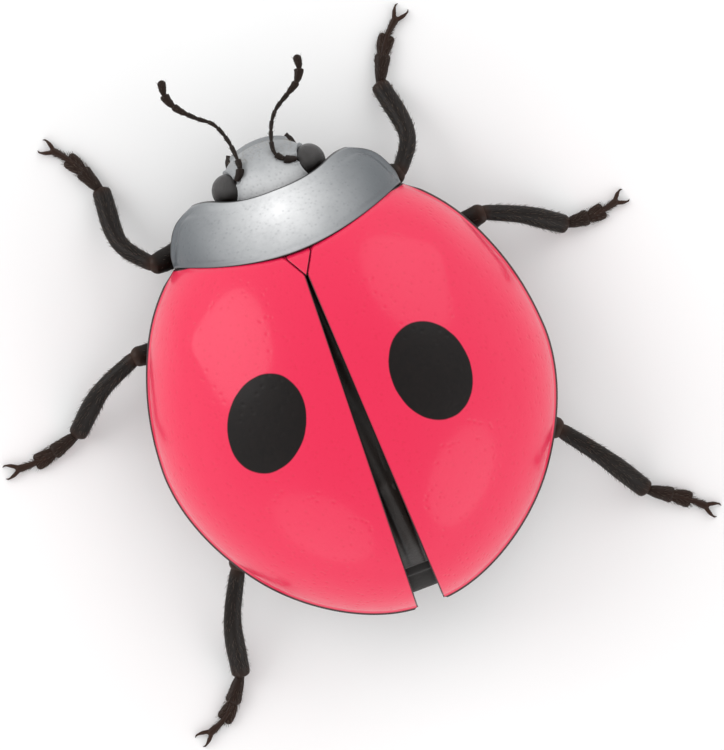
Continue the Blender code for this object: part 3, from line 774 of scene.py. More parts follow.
def case_plan():
    """A wing case in plan, closed, as a Coons patch between four lines: the seam, the rim, the front
    edge under the shield and the tip. Gives also the shares of the way from front to tip, the rim, and
    a weight for each column, which is 1 and fades to 0 at the outer corner."""
    bearings = np.linspace(0, math.pi / 2, 4000)
    outline = swung(rim_line(bearings))
    past = outline[:, 1] - shield_rear_y(outline[:, 0]) - 0.01
    corner = float(np.interp(0.0, past, bearings))
    corner_x = swung(rim_line(np.array(corner)))[0]
    u = np.linspace(0, 1, CASE_ROWS)
    close = [0.0007, 0.0015, 0.0025, 0.0035, 0.990, 0.994, 0.997, 0.999]
    v = np.sin(np.sort(np.append(np.linspace(0, 1, CASE_COLUMNS - len(close)), close)) * math.pi / 2)
    front_x = corner_x * v
    fade = step(front_x, corner_x, corner_x - 0.25)
    front = closed(points(front_x, shield_rear_y(front_x) + 0.01 - TUCK * fade))
    front[0, 0] = 0.0
    turn = math.acos((DOME_CENTRE_Y - front[0, 1]) / DOME_FRONT)
    angle = turn + (TIP_ANGLE - turn) * u
    seam = points(0.0, DOME_CENTRE_Y - dome_end(np.cos(angle) > 0)[0] * np.cos(angle))
    rim = rim_line(corner + (TIP_ANGLE - corner) * u)
    across, along = v[None, :, None], u[:, None, None]
    plan = ((1 - across) * seam[:, None] + across * rim[:, None]
            + (1 - along) * (front[None] - (1 - across) * front[0] - across * front[-1]))
    return plan, u, rim, fade


def turned_under(u, rim):
    """The rim's rows under the wing case: down round the bead, then in along a flange that narrows
    towards the tip and ends in a small upward lip."""
    width = 0.34 * step(u, 1.0, 0.72) * (0.6 + 0.4 * step(u, 0.5, 0.0)) + 0.03
    folds = [(inset + 0 * width, drop) for inset, drop in
             ((0.0, -0.012), (0.005, -0.022), (0.015, -0.028), (0.03, -0.029))]
    folds += [(0.03 + width * s, -0.029 + 0.06 * s * s) for s in (0.12, 0.3, 0.5, 0.75, 0.92, 1.0)]
    folds += [(0.03 + width + 0.006, 0.042), (0.03 + width, 0.055)]
    centre = np.array([0.0, DOME_CENTRE_Y])
    away = rim - centre
    size = np.linalg.norm(away, axis=-1, keepdims=True)
    rows = []
    for inset, drop in folds:
        inset = np.minimum(inset, np.abs(rim[:, 0]) * 0.5)[:, None]
        xy = centre + away * (1 - inset / size)
        rows.append(points(xy[:, 0], xy[:, 1], RIM_Z + drop))
    return np.stack(rows, axis=1)


def wing_case(side, name):
    """One wing case: a thin domed wall with a beaded rim turned under, a shoulder hump and fine pits.
    Each is a step or a bell curve of the distance from its place, added along the dome's normal."""
    plan, u, rim, fade = case_plan()
    x, y = plan[..., 0], plan[..., 1]
    height = dome_z(x, y)
    above = height - RIM_Z
    from_front = np.linalg.norm(plan - plan[:1], axis=-1)
    height = height - rolled(x, 0.018) - 0.05 * hump(from_front / 0.05) * fade
    outward = unit(points(x / DOME_HALF_WIDTH / DOME_HALF_WIDTH,
                          (y - DOME_CENTRE_Y) / DOME_REAR ** 2, above / DOME_HEIGHT ** 2))
    shape = points(x, y, height)
    lip = bells(above, (0.020, 0.01, 0.035), (-0.024, 0.13, 0.06))
    lip = lip * (0.2 + 0.8 * step(from_front, 0.04, 0.24))
    callus = 0.035 * hump(np.hypot((x - 1.42) / 0.24, (y - 0.28) / 0.34))
    callus -= 0.014 * hump(np.hypot((x - 1.05) / 0.22, (y - 0.18) / 0.30))
    shape += outward * (lip + callus + 0.006 * swell(shape, 1.1, 3))[..., None]
    shape[..., 2] -= 0.03 * step(from_scutellum(swung(shape[..., :2])), 0.016, 0.004)
    clear = step(above, 0.06, 0.20) * step(x, 0.02, 0.06) * step(from_front, 0.02, 0.10)
    pit = pits(shape, 0.070, 0.022) * clear
    shape -= outward * (0.0036 * pit)[..., None]

    under = turned_under(u, rim)
    extra = under.shape[1]
    grid = np.concatenate([shape, under], axis=1)
    edge = np.maximum(np.maximum(step(x, 0.020, 0.010), step(above, 0.062, 0.040)),
                      step(from_front, 0.026, 0.012))
    edge = np.pad(edge, ((0, 0), (0, extra)), constant_values=0.12)
    edge[:, CASE_COLUMNS:CASE_COLUMNS + 4] = np.linspace(1, 0, 4)
    wall = np.full(edge.shape, CASE_WALL)
    wall[:, -extra:] = FLANK_WALL
    wall[-1] = 0.008
    opened = swung(grid[..., :2])
    grid = points(side * opened[..., 0], opened[..., 1], grid[..., 2])
    Surface().plate(grid, wall, 20, edge=edge, pit=np.pad(pit, ((0, 0), (0, extra)))).build(
        f"wing_case_{name}", CASE_RED, "wing_case", f"elytron_{name}")


def scutellum():
    """The small triangular plate at the seam's front end: its width narrows in a straight line to the
    tip, and it is crowned a little over the dome."""
    v = np.linspace(0, 1, 81)[:, None]
    u = np.linspace(-1, 1, 61)[None]
    front = SCUTELLUM_FRONT_Y - 0.06
    y = front + (SCUTELLUM_TIP_Y - 0.004 - front) * v
    narrowing = (SCUTELLUM_TIP_Y - y) / (SCUTELLUM_TIP_Y - SCUTELLUM_FRONT_Y)
    half = SCUTELLUM_HALF * np.clip(narrowing, 0.03, 1.0)
    x = half * u
    border = np.minimum(half - np.abs(x), SCUTELLUM_TIP_Y - y)
    shape = points(x, y, dome_z(x, y) + 0.006 - rolled(border, 0.022) - 0.05 * hump((y - front) / 0.05))
    pit = pits(shape, 0.06, 0.018) * step(border, 0.01, 0.03)
    shape[..., 2] -= 0.003 * pit
    Surface().plate(shape, 0.035, 20, edge=step(border, 0.014, 0.004), pit=pit).build(
        "scutellum_plate", CASE_RED, "wing_case", "scutellum")


def folded_wing(side, name, lift):
    """A hind wing folded under its case: the inner dome's height less a clearance, ruffled by creases
    that run along it and by two cross folds, and dark along its raised veins."""
    u = np.linspace(0, 1, 241)[:, None]
    v = np.linspace(0, 1, 121)[None]
    front, rear, p = -0.10, 3.26, 2.3
    y = front + (rear - front) * u
    half = 1.38 * np.maximum(1 - np.abs((y - 1.45) / 1.95) ** p, 0.02) ** (1 / p)
    x = -0.10 + (half + 0.10) * v
    crease = (0.012 * np.sin(26 * x + 3.0 * y) + bells(y - 0.25 * x, (0.018, 2.35, 0.07))
              + bells(y + 0.3 * x, (0.014, 0.95, 0.06)))
    veins = 0 * x
    for start, lean in ((0.10, 0.05), (0.34, 0.12), (0.62, 0.10), (0.95, 0.04)):
        veins = np.maximum(veins, hump((x - start - lean * np.sin(1.4 * y)) / 0.022))
    z = dome_z(x * 1.04, y, CASE_WALL + 0.09) - 0.02 + lift + crease + 0.008 * veins
    z = z - 0.30 * step(u, 0.86, 1.02) ** 2
    Surface().plate(points(side * x, y, z), 0.03, 12, vein=veins).build(
        f"folded_wing_{name}", WING_SMOKE, "wing", f"hind_wing_{name}")


# ---- shield and head ----

def shield_edge_ys(across):
    """Where the shield's rear and front edges lie at a share of the way across it. The front edge bows
    back in the middle as |a|^2.5, and its corners are rounded off by a square."""
    out = np.abs(across)
    front = SHIELD_FRONT_MIDDLE_Y + (SHIELD_FRONT_CORNER_Y - SHIELD_FRONT_MIDDLE_Y) * out ** 2.5
    return shield_rear_y(SHIELD_HALF_WIDTH * across), front + 0.10 * np.clip((out - 0.72) / 0.28, 0, 1) ** 2


def shield_form(v):
    """The shield's half width, the height of its side edges and the height of its crown, at a share of
    the way from its rear to its front."""
    half = SHIELD_HALF_WIDTH - (SHIELD_HALF_WIDTH - SHIELD_FRONT_HALF_WIDTH) * v ** 1.7
    half = half - 0.14 * np.clip((v - 0.55) / 0.45, 0, 1) ** 2.6
    side_z = SHIELD_SIDE_Z[0] + (SHIELD_SIDE_Z[1] - SHIELD_SIDE_Z[0]) * v
    crown = dome_z(0.0, SHIELD_REAR_MIDDLE_Y) + 0.012
    return half, side_z, crown + (SHIELD_FRONT_MIDDLE_Z - crown) * (0.75 * v + 0.25 * v * v)


def shield():
    """The shield behind the head: rows from its rear to its front edge arch over the thorax as
    (1 - x²)^0.58, and its edges are beaded, rounded down and turned under at the sides."""
    v = np.linspace(0, 1, SHIELD_ROWS)[:, None]
    across = np.sin(np.linspace(-1, 1, SHIELD_COLUMNS)[None] * math.pi / 2)
    half, side_z, crown = shield_form(v)
    rear, front = shield_edge_ys(across)
    y = rear + (front - rear) * v
    z = side_z + (crown - side_z) * np.maximum(0.0, 1 - across * across) ** 0.58
    length = np.abs(rear - front)
    behind, before = v * length, (1 - v) * length
    border = np.minimum(behind, before)
    inner = step(z - side_z, 0.0, 0.16)
    z = z - inner * rolled(behind, 0.026)
    z = z - inner * rolled(before, 0.034)
    shape = points(half * across, y, z)
    outward = grid_normals(shape)
    outward *= np.sign(outward[SHIELD_ROWS // 2, SHIELD_COLUMNS // 2, 2])
    above = z - side_z
    margin = (bells(before, (0.010, 0.028, 0.020), (-0.011, 0.085, 0.028))
              + bells(behind, (0.006, 0.022, 0.016), (-0.007, 0.062, 0.022))) * inner
    margin += bells(above, (0.014, 0.02, 0.035), (-0.016, 0.14, 0.065)) * step(border, 0.0, 0.14)
    shape += outward * (margin + 0.005 * swell(shape, 0.7, 5))[..., None]
    pit = pits(shape, 0.050, 0.019) * step(border, 0.03, 0.08) * step(above, 0.04, 0.12)
    shape -= outward * (0.0030 * pit)[..., None]
    edge = np.maximum(step(border, 0.020, 0.008), step(above, 0.050, 0.030))

    # The fold under each side is narrower towards the front
    taper = 0.12 + 0.88 * step(v, 1.0, 0.70)
    inset, rise = np.array(SHIELD_FOLD).T
    right = points(half - inset * taper, y[:, -1:] + 0.25 * inset * (1 - taper), side_z + rise * taper)
    left = right[:, ::-1] * np.array([-1.0, 1.0, 1.0])
    pad = ((0, 0), (right.shape[1], right.shape[1]))
    wall = np.pad(np.full(edge.shape, SHIELD_WALL), pad, constant_values=FLANK_WALL)
    Surface().plate(np.concatenate([left, shape, right], axis=1), wall, 10, pit=np.pad(pit, pad),
                    edge=np.pad(edge, pad, constant_values=0.92)).build(
        "shield_plate", SHIELD_GREY_PAINTED_HIGHLIGHT, "shield", "pronotum")


def fore_body():
    """The fore body, which fills the shield: its top keeps under the shield's arch, its front is set back
    from the shield's front edge, and the breast plate between the fore legs bulges below it."""
    v = shares(60)[:, None]
    turn = circle(200)[None]
    across, up = np.cos(turn), np.sin(turn)
    half, side_z, crown = shield_form(v)
    rear, front = shield_edge_ys(across)
    scale = rounded(v, 0.8, 0.05, 0.09)
    z = side_z + np.where(up > 0, (crown - 0.10 - side_z) * np.abs(up) ** 1.16, -0.24 * np.abs(up) ** 0.8)
    middle_z = 1.05
    set_back = 0.13 - 0.085 * step(np.abs(across), 0.75, 0.97)
    y = rear - 0.03 + (front + set_back - rear + 0.03) * v
    grid = points((half - 0.075) * across * scale, y, middle_z + (z - middle_z) * scale)
    surface = Surface().tube(grid, pit=pits(grid, 0.05, 0.018))

    low, high = own_box("prosternum")
    share = shares(70)
    breast_z = 0.86
    line = points(0, low.y + 0.02 + (high.y - low.y) * share, breast_z)
    scale = rounded(share, high.y - low.y, 0.16, 0.16)
    rings = path_rings(line, (high.x - 0.04) * scale, 0.30 * scale, 140)
    belly = rings[..., 2] < breast_z
    rings[..., 2] -= bells(np.abs(rings[..., 0]), (0.022, 0.0, 0.10), (-0.010, 0.16, 0.02)) * belly
    pit = pits(rings, 0.05, 0.018)
    rings[..., 2] += 0.003 * pit * belly
    surface.tube(rings, pit=pit).build("fore_breast", BELLY_BLACK, "underside", "prosternum")


def head():
    """The head: a ball whose brow is flattened, with a ledge over the mouth, a seam above the ledge, a
    hollow for each eye, a ring round each feeler's socket and fine pits. Each is a step or a bell curve
    of the distance from its place, added along the normal."""
    rings = ball_rings(HEAD_CENTRE, HEAD_HALF, HEAD_RINGS, HEAD_SIDES)
    outward = unit((rings - np.array(HEAD_CENTRE)) / np.array(HEAD_HALF) ** 2)
    x, y, z = [rings[..., axis] - HEAD_CENTRE[axis] for axis in range(3)]
    face = step(y, 0.0, -0.12)
    out = np.abs(x)
    rise = -0.022 * hump(np.hypot(x / 0.26, (z - 0.15) / 0.15))
    width = 0.31 - 0.10 * step(z, -0.10, -0.24)
    ledge = step(z, -0.045, -0.075) * step(z, -0.262, -0.225) * step(out, width + 0.03, width - 0.03)
    rise += (0.050 - 0.012 * hump(x / 0.16) * step(z, -0.14, -0.22)) * ledge
    rise -= 0.005 * hump((z + 0.040 + 0.02 * (out / 0.3) ** 2) / 0.014) * step(out, 0.36, 0.28)
    rise -= 0.05 * step(z, -0.24, -0.30) * step(out, 0.34, 0.22)
    rise -= 0.006 * hump(x / 0.012) * step(z, 0.34, 0.28) * step(z, 0.0, 0.10)
    shape = rings + outward * (rise * face + 0.004 * swell(rings, 0.35, 9))[..., None]
    for side in (1, -1):
        mirror = np.array([side, 1, 1])
        gap = np.linalg.norm((shape - EYE_CENTRE * mirror) / (EYE_HALF + 0.02), axis=-1)
        shape += outward * (bells(gap, (0.017, 1.07, 0.06)) - 0.06 * step(gap, 1.06, 0.75))[..., None]
        near = np.linalg.norm(shape - SOCKET * mirror, axis=-1)
        shape += outward * bells(near, (0.012, 0.060, 0.014), (-0.035, 0.0, 0.042))[..., None]
    pit = pits(shape, 0.046, 0.018) * (0.35 + 0.65 * np.maximum(step(z, -0.02, 0.03), 1 - face))
    shape -= outward * (0.0032 * pit)[..., None]
    dark = np.maximum(step(z, -0.215, -0.235) * face, step(z, -0.16, -0.26))
    Surface().tube(shape, edge=dark, pit=pit).build("head_capsule", SHIELD_GREY_PAINTED_HIGHLIGHT, "shield", "head")

    rng = np.random.default_rng(3)
    rows, columns = np.nonzero((y < -0.16) & (z > -0.20) & (out < 0.36) & (z < 0.30))
    chosen = rng.choice(len(rows), 170, replace=False)
    row, column = rows[chosen], columns[chosen]
    roots = shape[row, column]
    lie = outward[row, column] * 0.5 + np.array([0, -0.4, -0.9]) + rng.normal(0, 0.15, roots.shape)
    hairs("face_hairs", PALE_HAIR, "shield", 0.0015, roots, lie, rng.uniform(0.022, 0.038, len(roots)),
          points(column / HEAD_SIDES, row / HEAD_RINGS))


def eye(side, name):
    """A compound eye: a leaned ball with six-sided facets. An equal-area map of the ball round its
    outward pole, of radius 2 sin(t / 2), carries the centres of a honeycomb; each facet bulges by
    1 - (d / r)² at the distance d from the nearest of them."""
    t = [*np.linspace(0.004, FACETS_END, 165), *np.linspace(FACETS_END + 0.05, math.pi - 0.01, 14)]
    t, turn = np.array(t)[:, None], circle(300)[None]
    reach = 2 * np.sin(t / 2)
    flat = points(reach * np.cos(turn), reach * np.sin(turn))
    cell = np.array([FACET, FACET * math.sqrt(3)])
    apart = np.minimum(*[np.linalg.norm(flat - (np.round(flat / cell - shift) + shift) * cell, axis=-1)
                         for shift in (0.0, 0.5)])
    bulge = np.clip(1 - (apart / (0.56 * FACET)) ** 2, 0, 1) * step(t, FACETS_END, FACETS_END - 0.15)
    rings = ball(t, turn) * EYE_HALF * (1 + 0.030 * bulge)[..., None]
    x = rings[..., 0] * math.cos(EYE_LEAN) - rings[..., 2] * math.sin(EYE_LEAN)
    z = rings[..., 2] * math.cos(EYE_LEAN) + rings[..., 0] * math.sin(EYE_LEAN)
    grid = (points(x, rings[..., 1], z) + EYE_CENTRE) * np.array([side, 1, 1])
    Surface().tube(grid, groove=step(bulge, 0.35, 0.0)).build(
        f"eye_{name}_facets", EYE_BLACK, "eye", f"eye_{name}")


def upper_lip():
    """The upper lip and its hairs. Its outline is a superellipse across, and its front edge is notched
    in the middle."""
    v = np.linspace(0, 1, LIP_ROWS)[:, None]
    u = np.linspace(-1, 1, LIP_COLUMNS)[None]
    half = 0.175 * np.maximum(1 - v ** 5, 0.02) ** 0.28
    border = np.minimum(1 - np.abs(u), 1 - v)
    y = -1.375 - 0.095 * np.sin(v * math.pi / 2) + 0.020 * hump(u / 0.3) * v ** 3 + 0.022 * u * u
    z = 0.845 - 0.085 * v - 0.030 * v * v + 0.016 * np.cos(u * math.pi / 2)
    shape = points(half * u, y, z - 0.012 * step(border, 0.14, 0.0) * v)
    edge, pit = step(border, 0.16, 0.05) * 0.9, pits(shape, 0.045, 0.012)
    Surface().plate(shape, 0.030, 10, edge=edge, pit=pit).build("upper_lip", SHIELD_GREY_PAINTED_HIGHLIGHT, "shield", "labrum")

    # The hairs stand on a block of the grid's rows and columns near the front edge
    first_row, rows, first_column, columns = 38, 20, 8, 65
    rng = np.random.default_rng(5)
    chosen = rng.choice(rows * columns, 60, replace=False)
    column, row = first_column + chosen % columns, first_row + chosen // columns
    roots = shape[row, column]
    hairs("lip_hairs", DARK_HAIR, "shield", 0.0016, roots, np.array([0, -0.8, -0.5]) + 0 * roots,
          rng.uniform(0.030, 0.050, len(roots)), points(column / LIP_COLUMNS, row / LIP_ROWS))


def jaws():
    """The two jaws with their toothed tips, and the lower lip with its cheeks and short palps."""
    lip = Surface().limb(curve([(0, -1.00, 0.74), (0, -1.18, 0.665), (0, -1.36, 0.635)], 60),
                         ((0, 0.24), (0.45, 0.20), (0.8, 0.15), (1, 0.12)), 0.42, (0.10, 0.05), 50, 40,
                         (0.0, 0.0, 0.4))
    for side, name in SIDES:
        line = curve([(side * 0.22, -1.19, 0.68), (side * 0.20, -1.32, 0.675),
                      (side * 0.11, -1.415, 0.665), (side * 0.010, -1.445, 0.655)], 48)
        share = np.linspace(0, 1, len(line))
        wide = eased(share, ((0, 0.085), (0.4, 0.078), (0.8, 0.040), (1, 0.008)))
        wide = wide + bells(share, (0.014, 0.80, 0.05))
        dark = eased(share, ((0, 0), (0.7, 0.3), (1, 1)))
        Surface().tube(path_rings(line, wide, wide * 0.75, 24), edge=dark[:, None]).build(
            f"jaw_{name}", BELLY_BLACK, "underside", f"mandible_{name}")

        line = curve([(side * 0.065, -1.32, 0.625), (side * 0.085, -1.385, 0.590),
                      (side * 0.068, -1.45, 0.565)], 61)
        for start, end, size in ((0, 21, 0.020), (18, 43, 0.024), (40, 61, 0.017)):
            lip.limb(line[start:end], ((0, size * 0.8), (1, size)), 1.0, (0.012, 0.014), 18, 16,
                     (0.2, 0.4, 0.0))
        cheek = [(side * 0.20, -1.02, 0.78), (side * 0.27, -1.20, 0.700), (side * 0.25, -1.34, 0.665)]
        lip.limb(curve(cheek, 60), ((0, 0.11), (0.5, 0.095), (1, 0.055)), 0.7, (0.05, 0.04), 34, 28,
                 (0.0, 0.0, 0.3))
    lip.build("lower_lip", LIMB_BROWN, "limb")


def palp(side, name):
    """A jaw palp of four parts, the last one flattened and widening to a hatchet."""
    low, high = own_box(f"palp_{name}")
    x, z = side * abs((low.x + high.x) / 2), HEAD_LOW.z
    line = curve([(x * 0.48, -1.09, z + 0.03), (x * 0.80, -1.15, z - 0.05), (x * 0.90, -1.27, z - 0.12),
                  (x * 0.62, -1.40, z - 0.15)], 101)
    surface = Surface()
    for start, end, first, last in ((0, 31, 0.040, 0.046), (26, 51, 0.036, 0.050), (46, 71, 0.036, 0.048)):
        surface.limb(line[start:end], ((0, first), (0.8, last), (1, last)), 0.9, (0.025, 0.025), 26, 22,
                     (0.1, 0.5, 0.0))
    surface.limb(line[66:], ((0, 0.036), (0.6, 0.085), (0.9, 0.100), (1, 0.098)), 0.42, (0.025, 0.022),
                 34, 32, (0.15, 0.4, 0.5))
    surface.build(f"jaw_palp_{name}", LIMB_BROWN, "limb", f"palp_{name}")


def feeler(name):
    """A feeler of eleven parts on one curve. Each stands in the cup of the one before it and widens to
    its own far end; the last three are flattened and make the club."""
    line = curve(FEELERS[name], 401)
    steps = len(line) - 1
    rings = 24
    surface, rows = Surface(), []
    start = 0.0
    rng = np.random.default_rng(11)
    for number, (end, radius) in enumerate(FEELER_PARTS):
        club, tip = number >= FIRST_CLUB_PART, end == 1.0
        flat, stations = CLUB_SHAPE if club else STALK_SHAPE
        part = curve(line[max(0, int((start - 0.012) * steps)):int(end * steps) + 1], rings)
        surface.limb(part, [(at, radius * size) for at, size in stations], flat,
                     (0.012, 0.050 if tip else 0.014), rings, 22, (0.10 + 0.1 * club, 0.5, 0.0))
        if number > 0:
            ahead, across, above = path_frames(part)
            count = 26 if club else 12
            at = rng.integers(6, 22, count)
            turn = rng.uniform(0, 2 * math.pi, count)[:, None]
            share = at / (rings - 1)
            aside, upward = np.cos(turn) * across[at], np.sin(turn) * above[at]
            size = radius * eased(share, stations)[:, None] * 0.97
            rows.append((part[at] + (aside + upward * flat) * size, (aside + upward) * 0.7 + ahead[at],
                         points((number + share) / len(FEELER_PARTS), turn[:, 0] / (2 * math.pi))))
        start = end
    surface.build(f"feeler_{name}", LIMB_BROWN, "limb", f"antenna_{name}")
    roots, headings, skin = gathered(rows)
    hairs(f"feeler_hairs_{name}", DARK_HAIR, "limb", 0.0018, roots, headings,
          rng.uniform(0.020, 0.038, len(roots)), skin)


# ---- underside ----

def trunk_rings(front, rear, count, groove):
    """Rings across the trunk from front to rear. Its half width and its depth below the waist follow
    superellipses along its length; each ring is two half superellipses, belly and back. groove gives how
    far the surface stands in or out at (x as a share of the half width, y, whether on the belly)."""
    y = (front + (rear - front) * shares(count))[:, None]
    turn = circle(TRUNK_SIDES)[None]
    centre, half_length = (TRUNK_FRONT_Y + BELLY_HIGH.y) / 2, (BELLY_HIGH.y - TRUNK_FRONT_Y) / 2 + 0.004
    fall = np.clip(1 - np.abs((y - centre) / half_length) ** 2.2, 0, 1)
    half = BELLY_HIGH.x * fall ** (1 / 2.2)
    x, z = power(np.cos(turn), 0.9), power(np.sin(turn), 0.9)
    belly = z < 0
    lift = groove(x, y + 0 * x, belly)
    depth = np.where(belly, (WAIST_Z - BELLY_Z) * fall ** 0.42 + 0.01, 0.42 * fall ** 0.6 + 0.01)
    return points(half * x * (1 + lift * 0.5), y,
                  WAIST_Z + depth * z + lift * np.where(belly, -1, 1) * np.abs(z))


def belly_groove(x, y, belly):
    """Steps between the belly plates: each plate stands proud at its rear edge, which bows forward at
    the sides, and drops to the next by a short cubic step. A fine ridge arches behind each hind hip."""
    bowed = y + 0.10 * x * x
    lift = 0 * x
    for start, end in zip((TRUNK_CUTS[1], *BELLY_RINGS), BELLY_RINGS):
        lift = lift + 0.034 * step(bowed, start + 0.02, end) * step(bowed, end + 0.012, end - 0.004)
    from_hip = np.hypot((np.abs(x) * BELLY_HIGH.x - 0.72) / 1.25, y - 1.26)
    ridge = 0.012 * hump((from_hip - 0.34) / 0.014) * step(y, 1.28, 1.36)
    return np.where(belly, lift + ridge, lift * 0.8)


def breast_groove(x, y, belly):
    """A fine line down the middle of the breast and a slanted one along each flank."""
    flank = bells(np.abs(x) + 0.05 * y, (-0.020, 0.80, 0.018))
    return np.where(belly, bells(x, (-0.016, 0.0, 0.012)) + flank, 0.0)


def side_lobes(surface):
    """A lobe on each side of the middle breast with a slanted seam below, and a tapered tube that closes
    the corner between shield and wing case."""
    for side in (1, -1):
        lobe = ball_rings((side * 0.86, -0.17, 0.88), (0.53, 0.31, 0.175), 110, 120)
        below = step(lobe[..., 2], 0.90, 0.80)
        seam = hump((np.abs(lobe[..., 0]) - 0.98 - 0.35 * (lobe[..., 1] + 0.17)) / 0.014)
        pit = pits(lobe, 0.05, 0.018)
        lobe[..., 2] += (0.012 * seam + 0.003 * pit) * below
        surface.tube(lobe, pit=pit)
        line = curve([(side * 0.60, -0.20, 1.30), (side * 0.98, -0.33, 1.10), (side * 1.15, -0.44, 0.97),
                      (side * 1.262, -0.528, 0.905)], 60)
        share = shares(len(line))
        size = 0.07 * rounded(share, 0.95, 0.1, 0.03) * eased(share, ((0, 1), (0.6, 1), (1, 0.6)))
        surface.tube(path_rings(sampled(line, share), size, size, 24))


def underside():
    """The three slices of the trunk, pitted all over, and short hairs that lie back over them. The front
    of a slice steps in and runs a little way into the slice ahead of it."""
    first, second = TRUNK_CUTS
    slices = (("middle_breast", "mesothorax", TRUNK_FRONT_Y, first - SLICE_GAP, 90, breast_groove),
              ("hind_breast", "metathorax", first - 2 * SLICE_TUCK, second - SLICE_GAP, 120, breast_groove),
              ("belly_plates", "abdomen", second - 2 * SLICE_TUCK, BELLY_HIGH.y, 280, belly_groove))
    rng = np.random.default_rng(7)
    tufts = []
    for number, (name, node, front, rear, count, groove) in enumerate(slices):
        grid = trunk_rings(front, rear, count, groove)
        outward = grid_normals(grid)
        facing = (outward * (grid - grid.mean((0, 1)))).sum(-1, keepdims=True)
        outward *= np.sign(facing.mean(1, keepdims=True))
        pit = pits(grid, 0.055, 0.021)
        tucked = 0.022 * step(grid[..., 1], front + 2 * SLICE_TUCK, front + SLICE_TUCK) if number else 0.0
        grid = grid - outward * (0.003 * pit + tucked)[..., None]
        surface = Surface().tube(grid, pit=pit, edge=step(np.abs(grid[..., 0]), 1.5, 1.75))
        if node == "mesothorax":
            side_lobes(surface)
        surface.build(name, BELLY_BLACK, "underside", node)

        x, y, z = grid.transpose(2, 0, 1)
        inside = (y > front + 0.03) & (y < min(3.25, rear - 0.03)) & (np.abs(x) < 1.45)
        rows, columns = np.nonzero(inside & (z < WAIST_Z - 0.10))
        chosen = rng.choice(len(rows), int(520 * (rear - front)), replace=False)
        row, column = rows[chosen], columns[chosen]
        lie = outward[row, column] * 0.40 + np.array([0, 0.9, 0]) + rng.normal(0, 0.16, (len(row), 3))
        tufts.append((grid[row, column], lie, rng.uniform(0.035, 0.065, len(row)),
                      points(column / TRUNK_SIDES, (number + row / count) / len(slices))))
    hairs("underside_hairs", PALE_HAIR, "underside", 0.0020, *gathered(tufts))


# ---- legs ----

def node_points(node):
    """A node's own points, each once, in the animal's millimetres."""
    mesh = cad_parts[node].data
    flat = np.empty(len(mesh.vertices) * 3, np.float32)
    mesh.vertices.foreach_get("co", flat)
    return np.unique(np.round((flat.reshape(-1, 3) - np.array(ORIGIN)) / MM, 4), axis=0)


def joint(first, second):
    """The middle of the ring of points at which two neighbouring nodes face each other."""
    apart = np.linalg.norm(first[:, None] - second[None], axis=-1)
    return np.concatenate([first[apart.min(1) < 0.06], second[apart.min(0) < 0.06]]).mean(0)


def far_end(places, start):
    """The middle of the points furthest from a place."""
    away = np.linalg.norm(places - start, axis=-1)
    return places[away > away.max() - 0.05].mean(0)


def middle(places, start, end):
    """The middle of a bowed part. Its rings' mean is a start + b middle + a end, where b is 0.555 for
    the seven or so rings of such a part on a quadratic curve."""
    bow = 0.555
    return (places.mean(0) - (1 - bow) / 2 * (start + end)) / bow


def leg_line(pair, name):
    """A leg's middle line, read from its nodes in plan and set at the true heights of thin legs."""
    coxa, femur, tibia, tarsus = [node_points(f"{pair}_{part}_{name}")
                                  for part in ("coxa", "femur", "tibia", "tarsus")]
    hip, knee, ankle = joint(coxa, femur), joint(femur, tibia), joint(tibia, tarsus)
    inner, tip = far_end(coxa, hip), far_end(tarsus, ankle)
    courses = {
        "hip": (40, (inner, HIP_Z + 0.02), (hip, HIP_Z)),
        "thigh": (160, (hip, HIP_Z), ((hip + knee) / 2, THIGH_Z + 0.04), (knee, KNEE_Z)),
        "shin": (160, (knee, KNEE_Z), (middle(tibia, knee, ankle), SHIN_Z), (ankle, ANKLE_Z)),
        "foot": (FOOT_POINTS, (ankle, ANKLE_Z), (middle(tarsus, ankle, tip), FOOT_Z), (tip, CLAW_Z)),
    }
    return {part: curve([(place[0], place[1], z) for place, z in through], count)
            for part, (count, *through) in courses.items()}


def leg(pair, name):
    """One leg: a rounded hip, a small link, a spindle thigh, a shin that widens to its spurs, and a foot
    of a wedge, a two-lobed pad, a slender last part and two toothed claws. Each part starts inside the
    end of the one before it."""
    lines = leg_line(pair, name)
    hip, thigh, shin, foot = Surface(), Surface(), Surface(), Surface()
    stout = 1.08 if pair == "hind" else 1.0

    hip.limb(stretched(lines["hip"], 0.08, 0.07), ((0, 0.15), (0.6, 0.17), (1, 0.14)), 0.9, (0.14, 0.12),
             44, 44, (0.1, 0.0, 0.3))
    thigh.limb(stretched(lines["thigh"][:24] - np.array([0, 0, 0.03]), 0.06, 0.0),
               ((0, 0.10), (0.5, 0.125), (1, 0.10)), 0.86, (0.07, 0.09), 30, 36, (0.3, 0.2, 0.2))
    thigh.limb(stretched(lines["thigh"], -0.03, 0.055), [(at, size * stout) for at, size in THIGH],
               THIGH_FLAT, (0.09, 0.085), 72, 44, (0.0, 0.35, 0.55))
    line = stretched(lines["shin"], 0.035, 0.030)
    shin.limb(line, SHIN, SHIN_FLAT, (0.055, 0.050), 72, 40, (0.0, 0.55, 0.4))
    ahead, across, above = [ways[-12] for ways in path_frames(line)]
    for lean in (1, -1):
        root = line[-12] + across * lean * 0.062 - above * 0.035
        spur = root + np.linspace(0, 0.10, 14)[:, None] * (ahead + across * lean * 0.22 - above * 0.12)
        shin.limb(spur, ((0, 0.011), (1, 0.0025)), 1.0, (0.004, 0.004), 14, 10, (0.8, 0, 0))
    foot_parts(foot, stretched(lines["foot"], 0.02, 0.0))
    for surface, part, node in ((hip, "hip", "coxa"), (thigh, "thigh", "femur"), (shin, "shin", "tibia"),
                                (foot, "foot", "tarsus")):
        surface.build(f"{pair}_{part}_{name}", LIMB_BROWN, "limb", f"{pair}_{node}_{name}")
    leg_hairs(lines, pair, name)


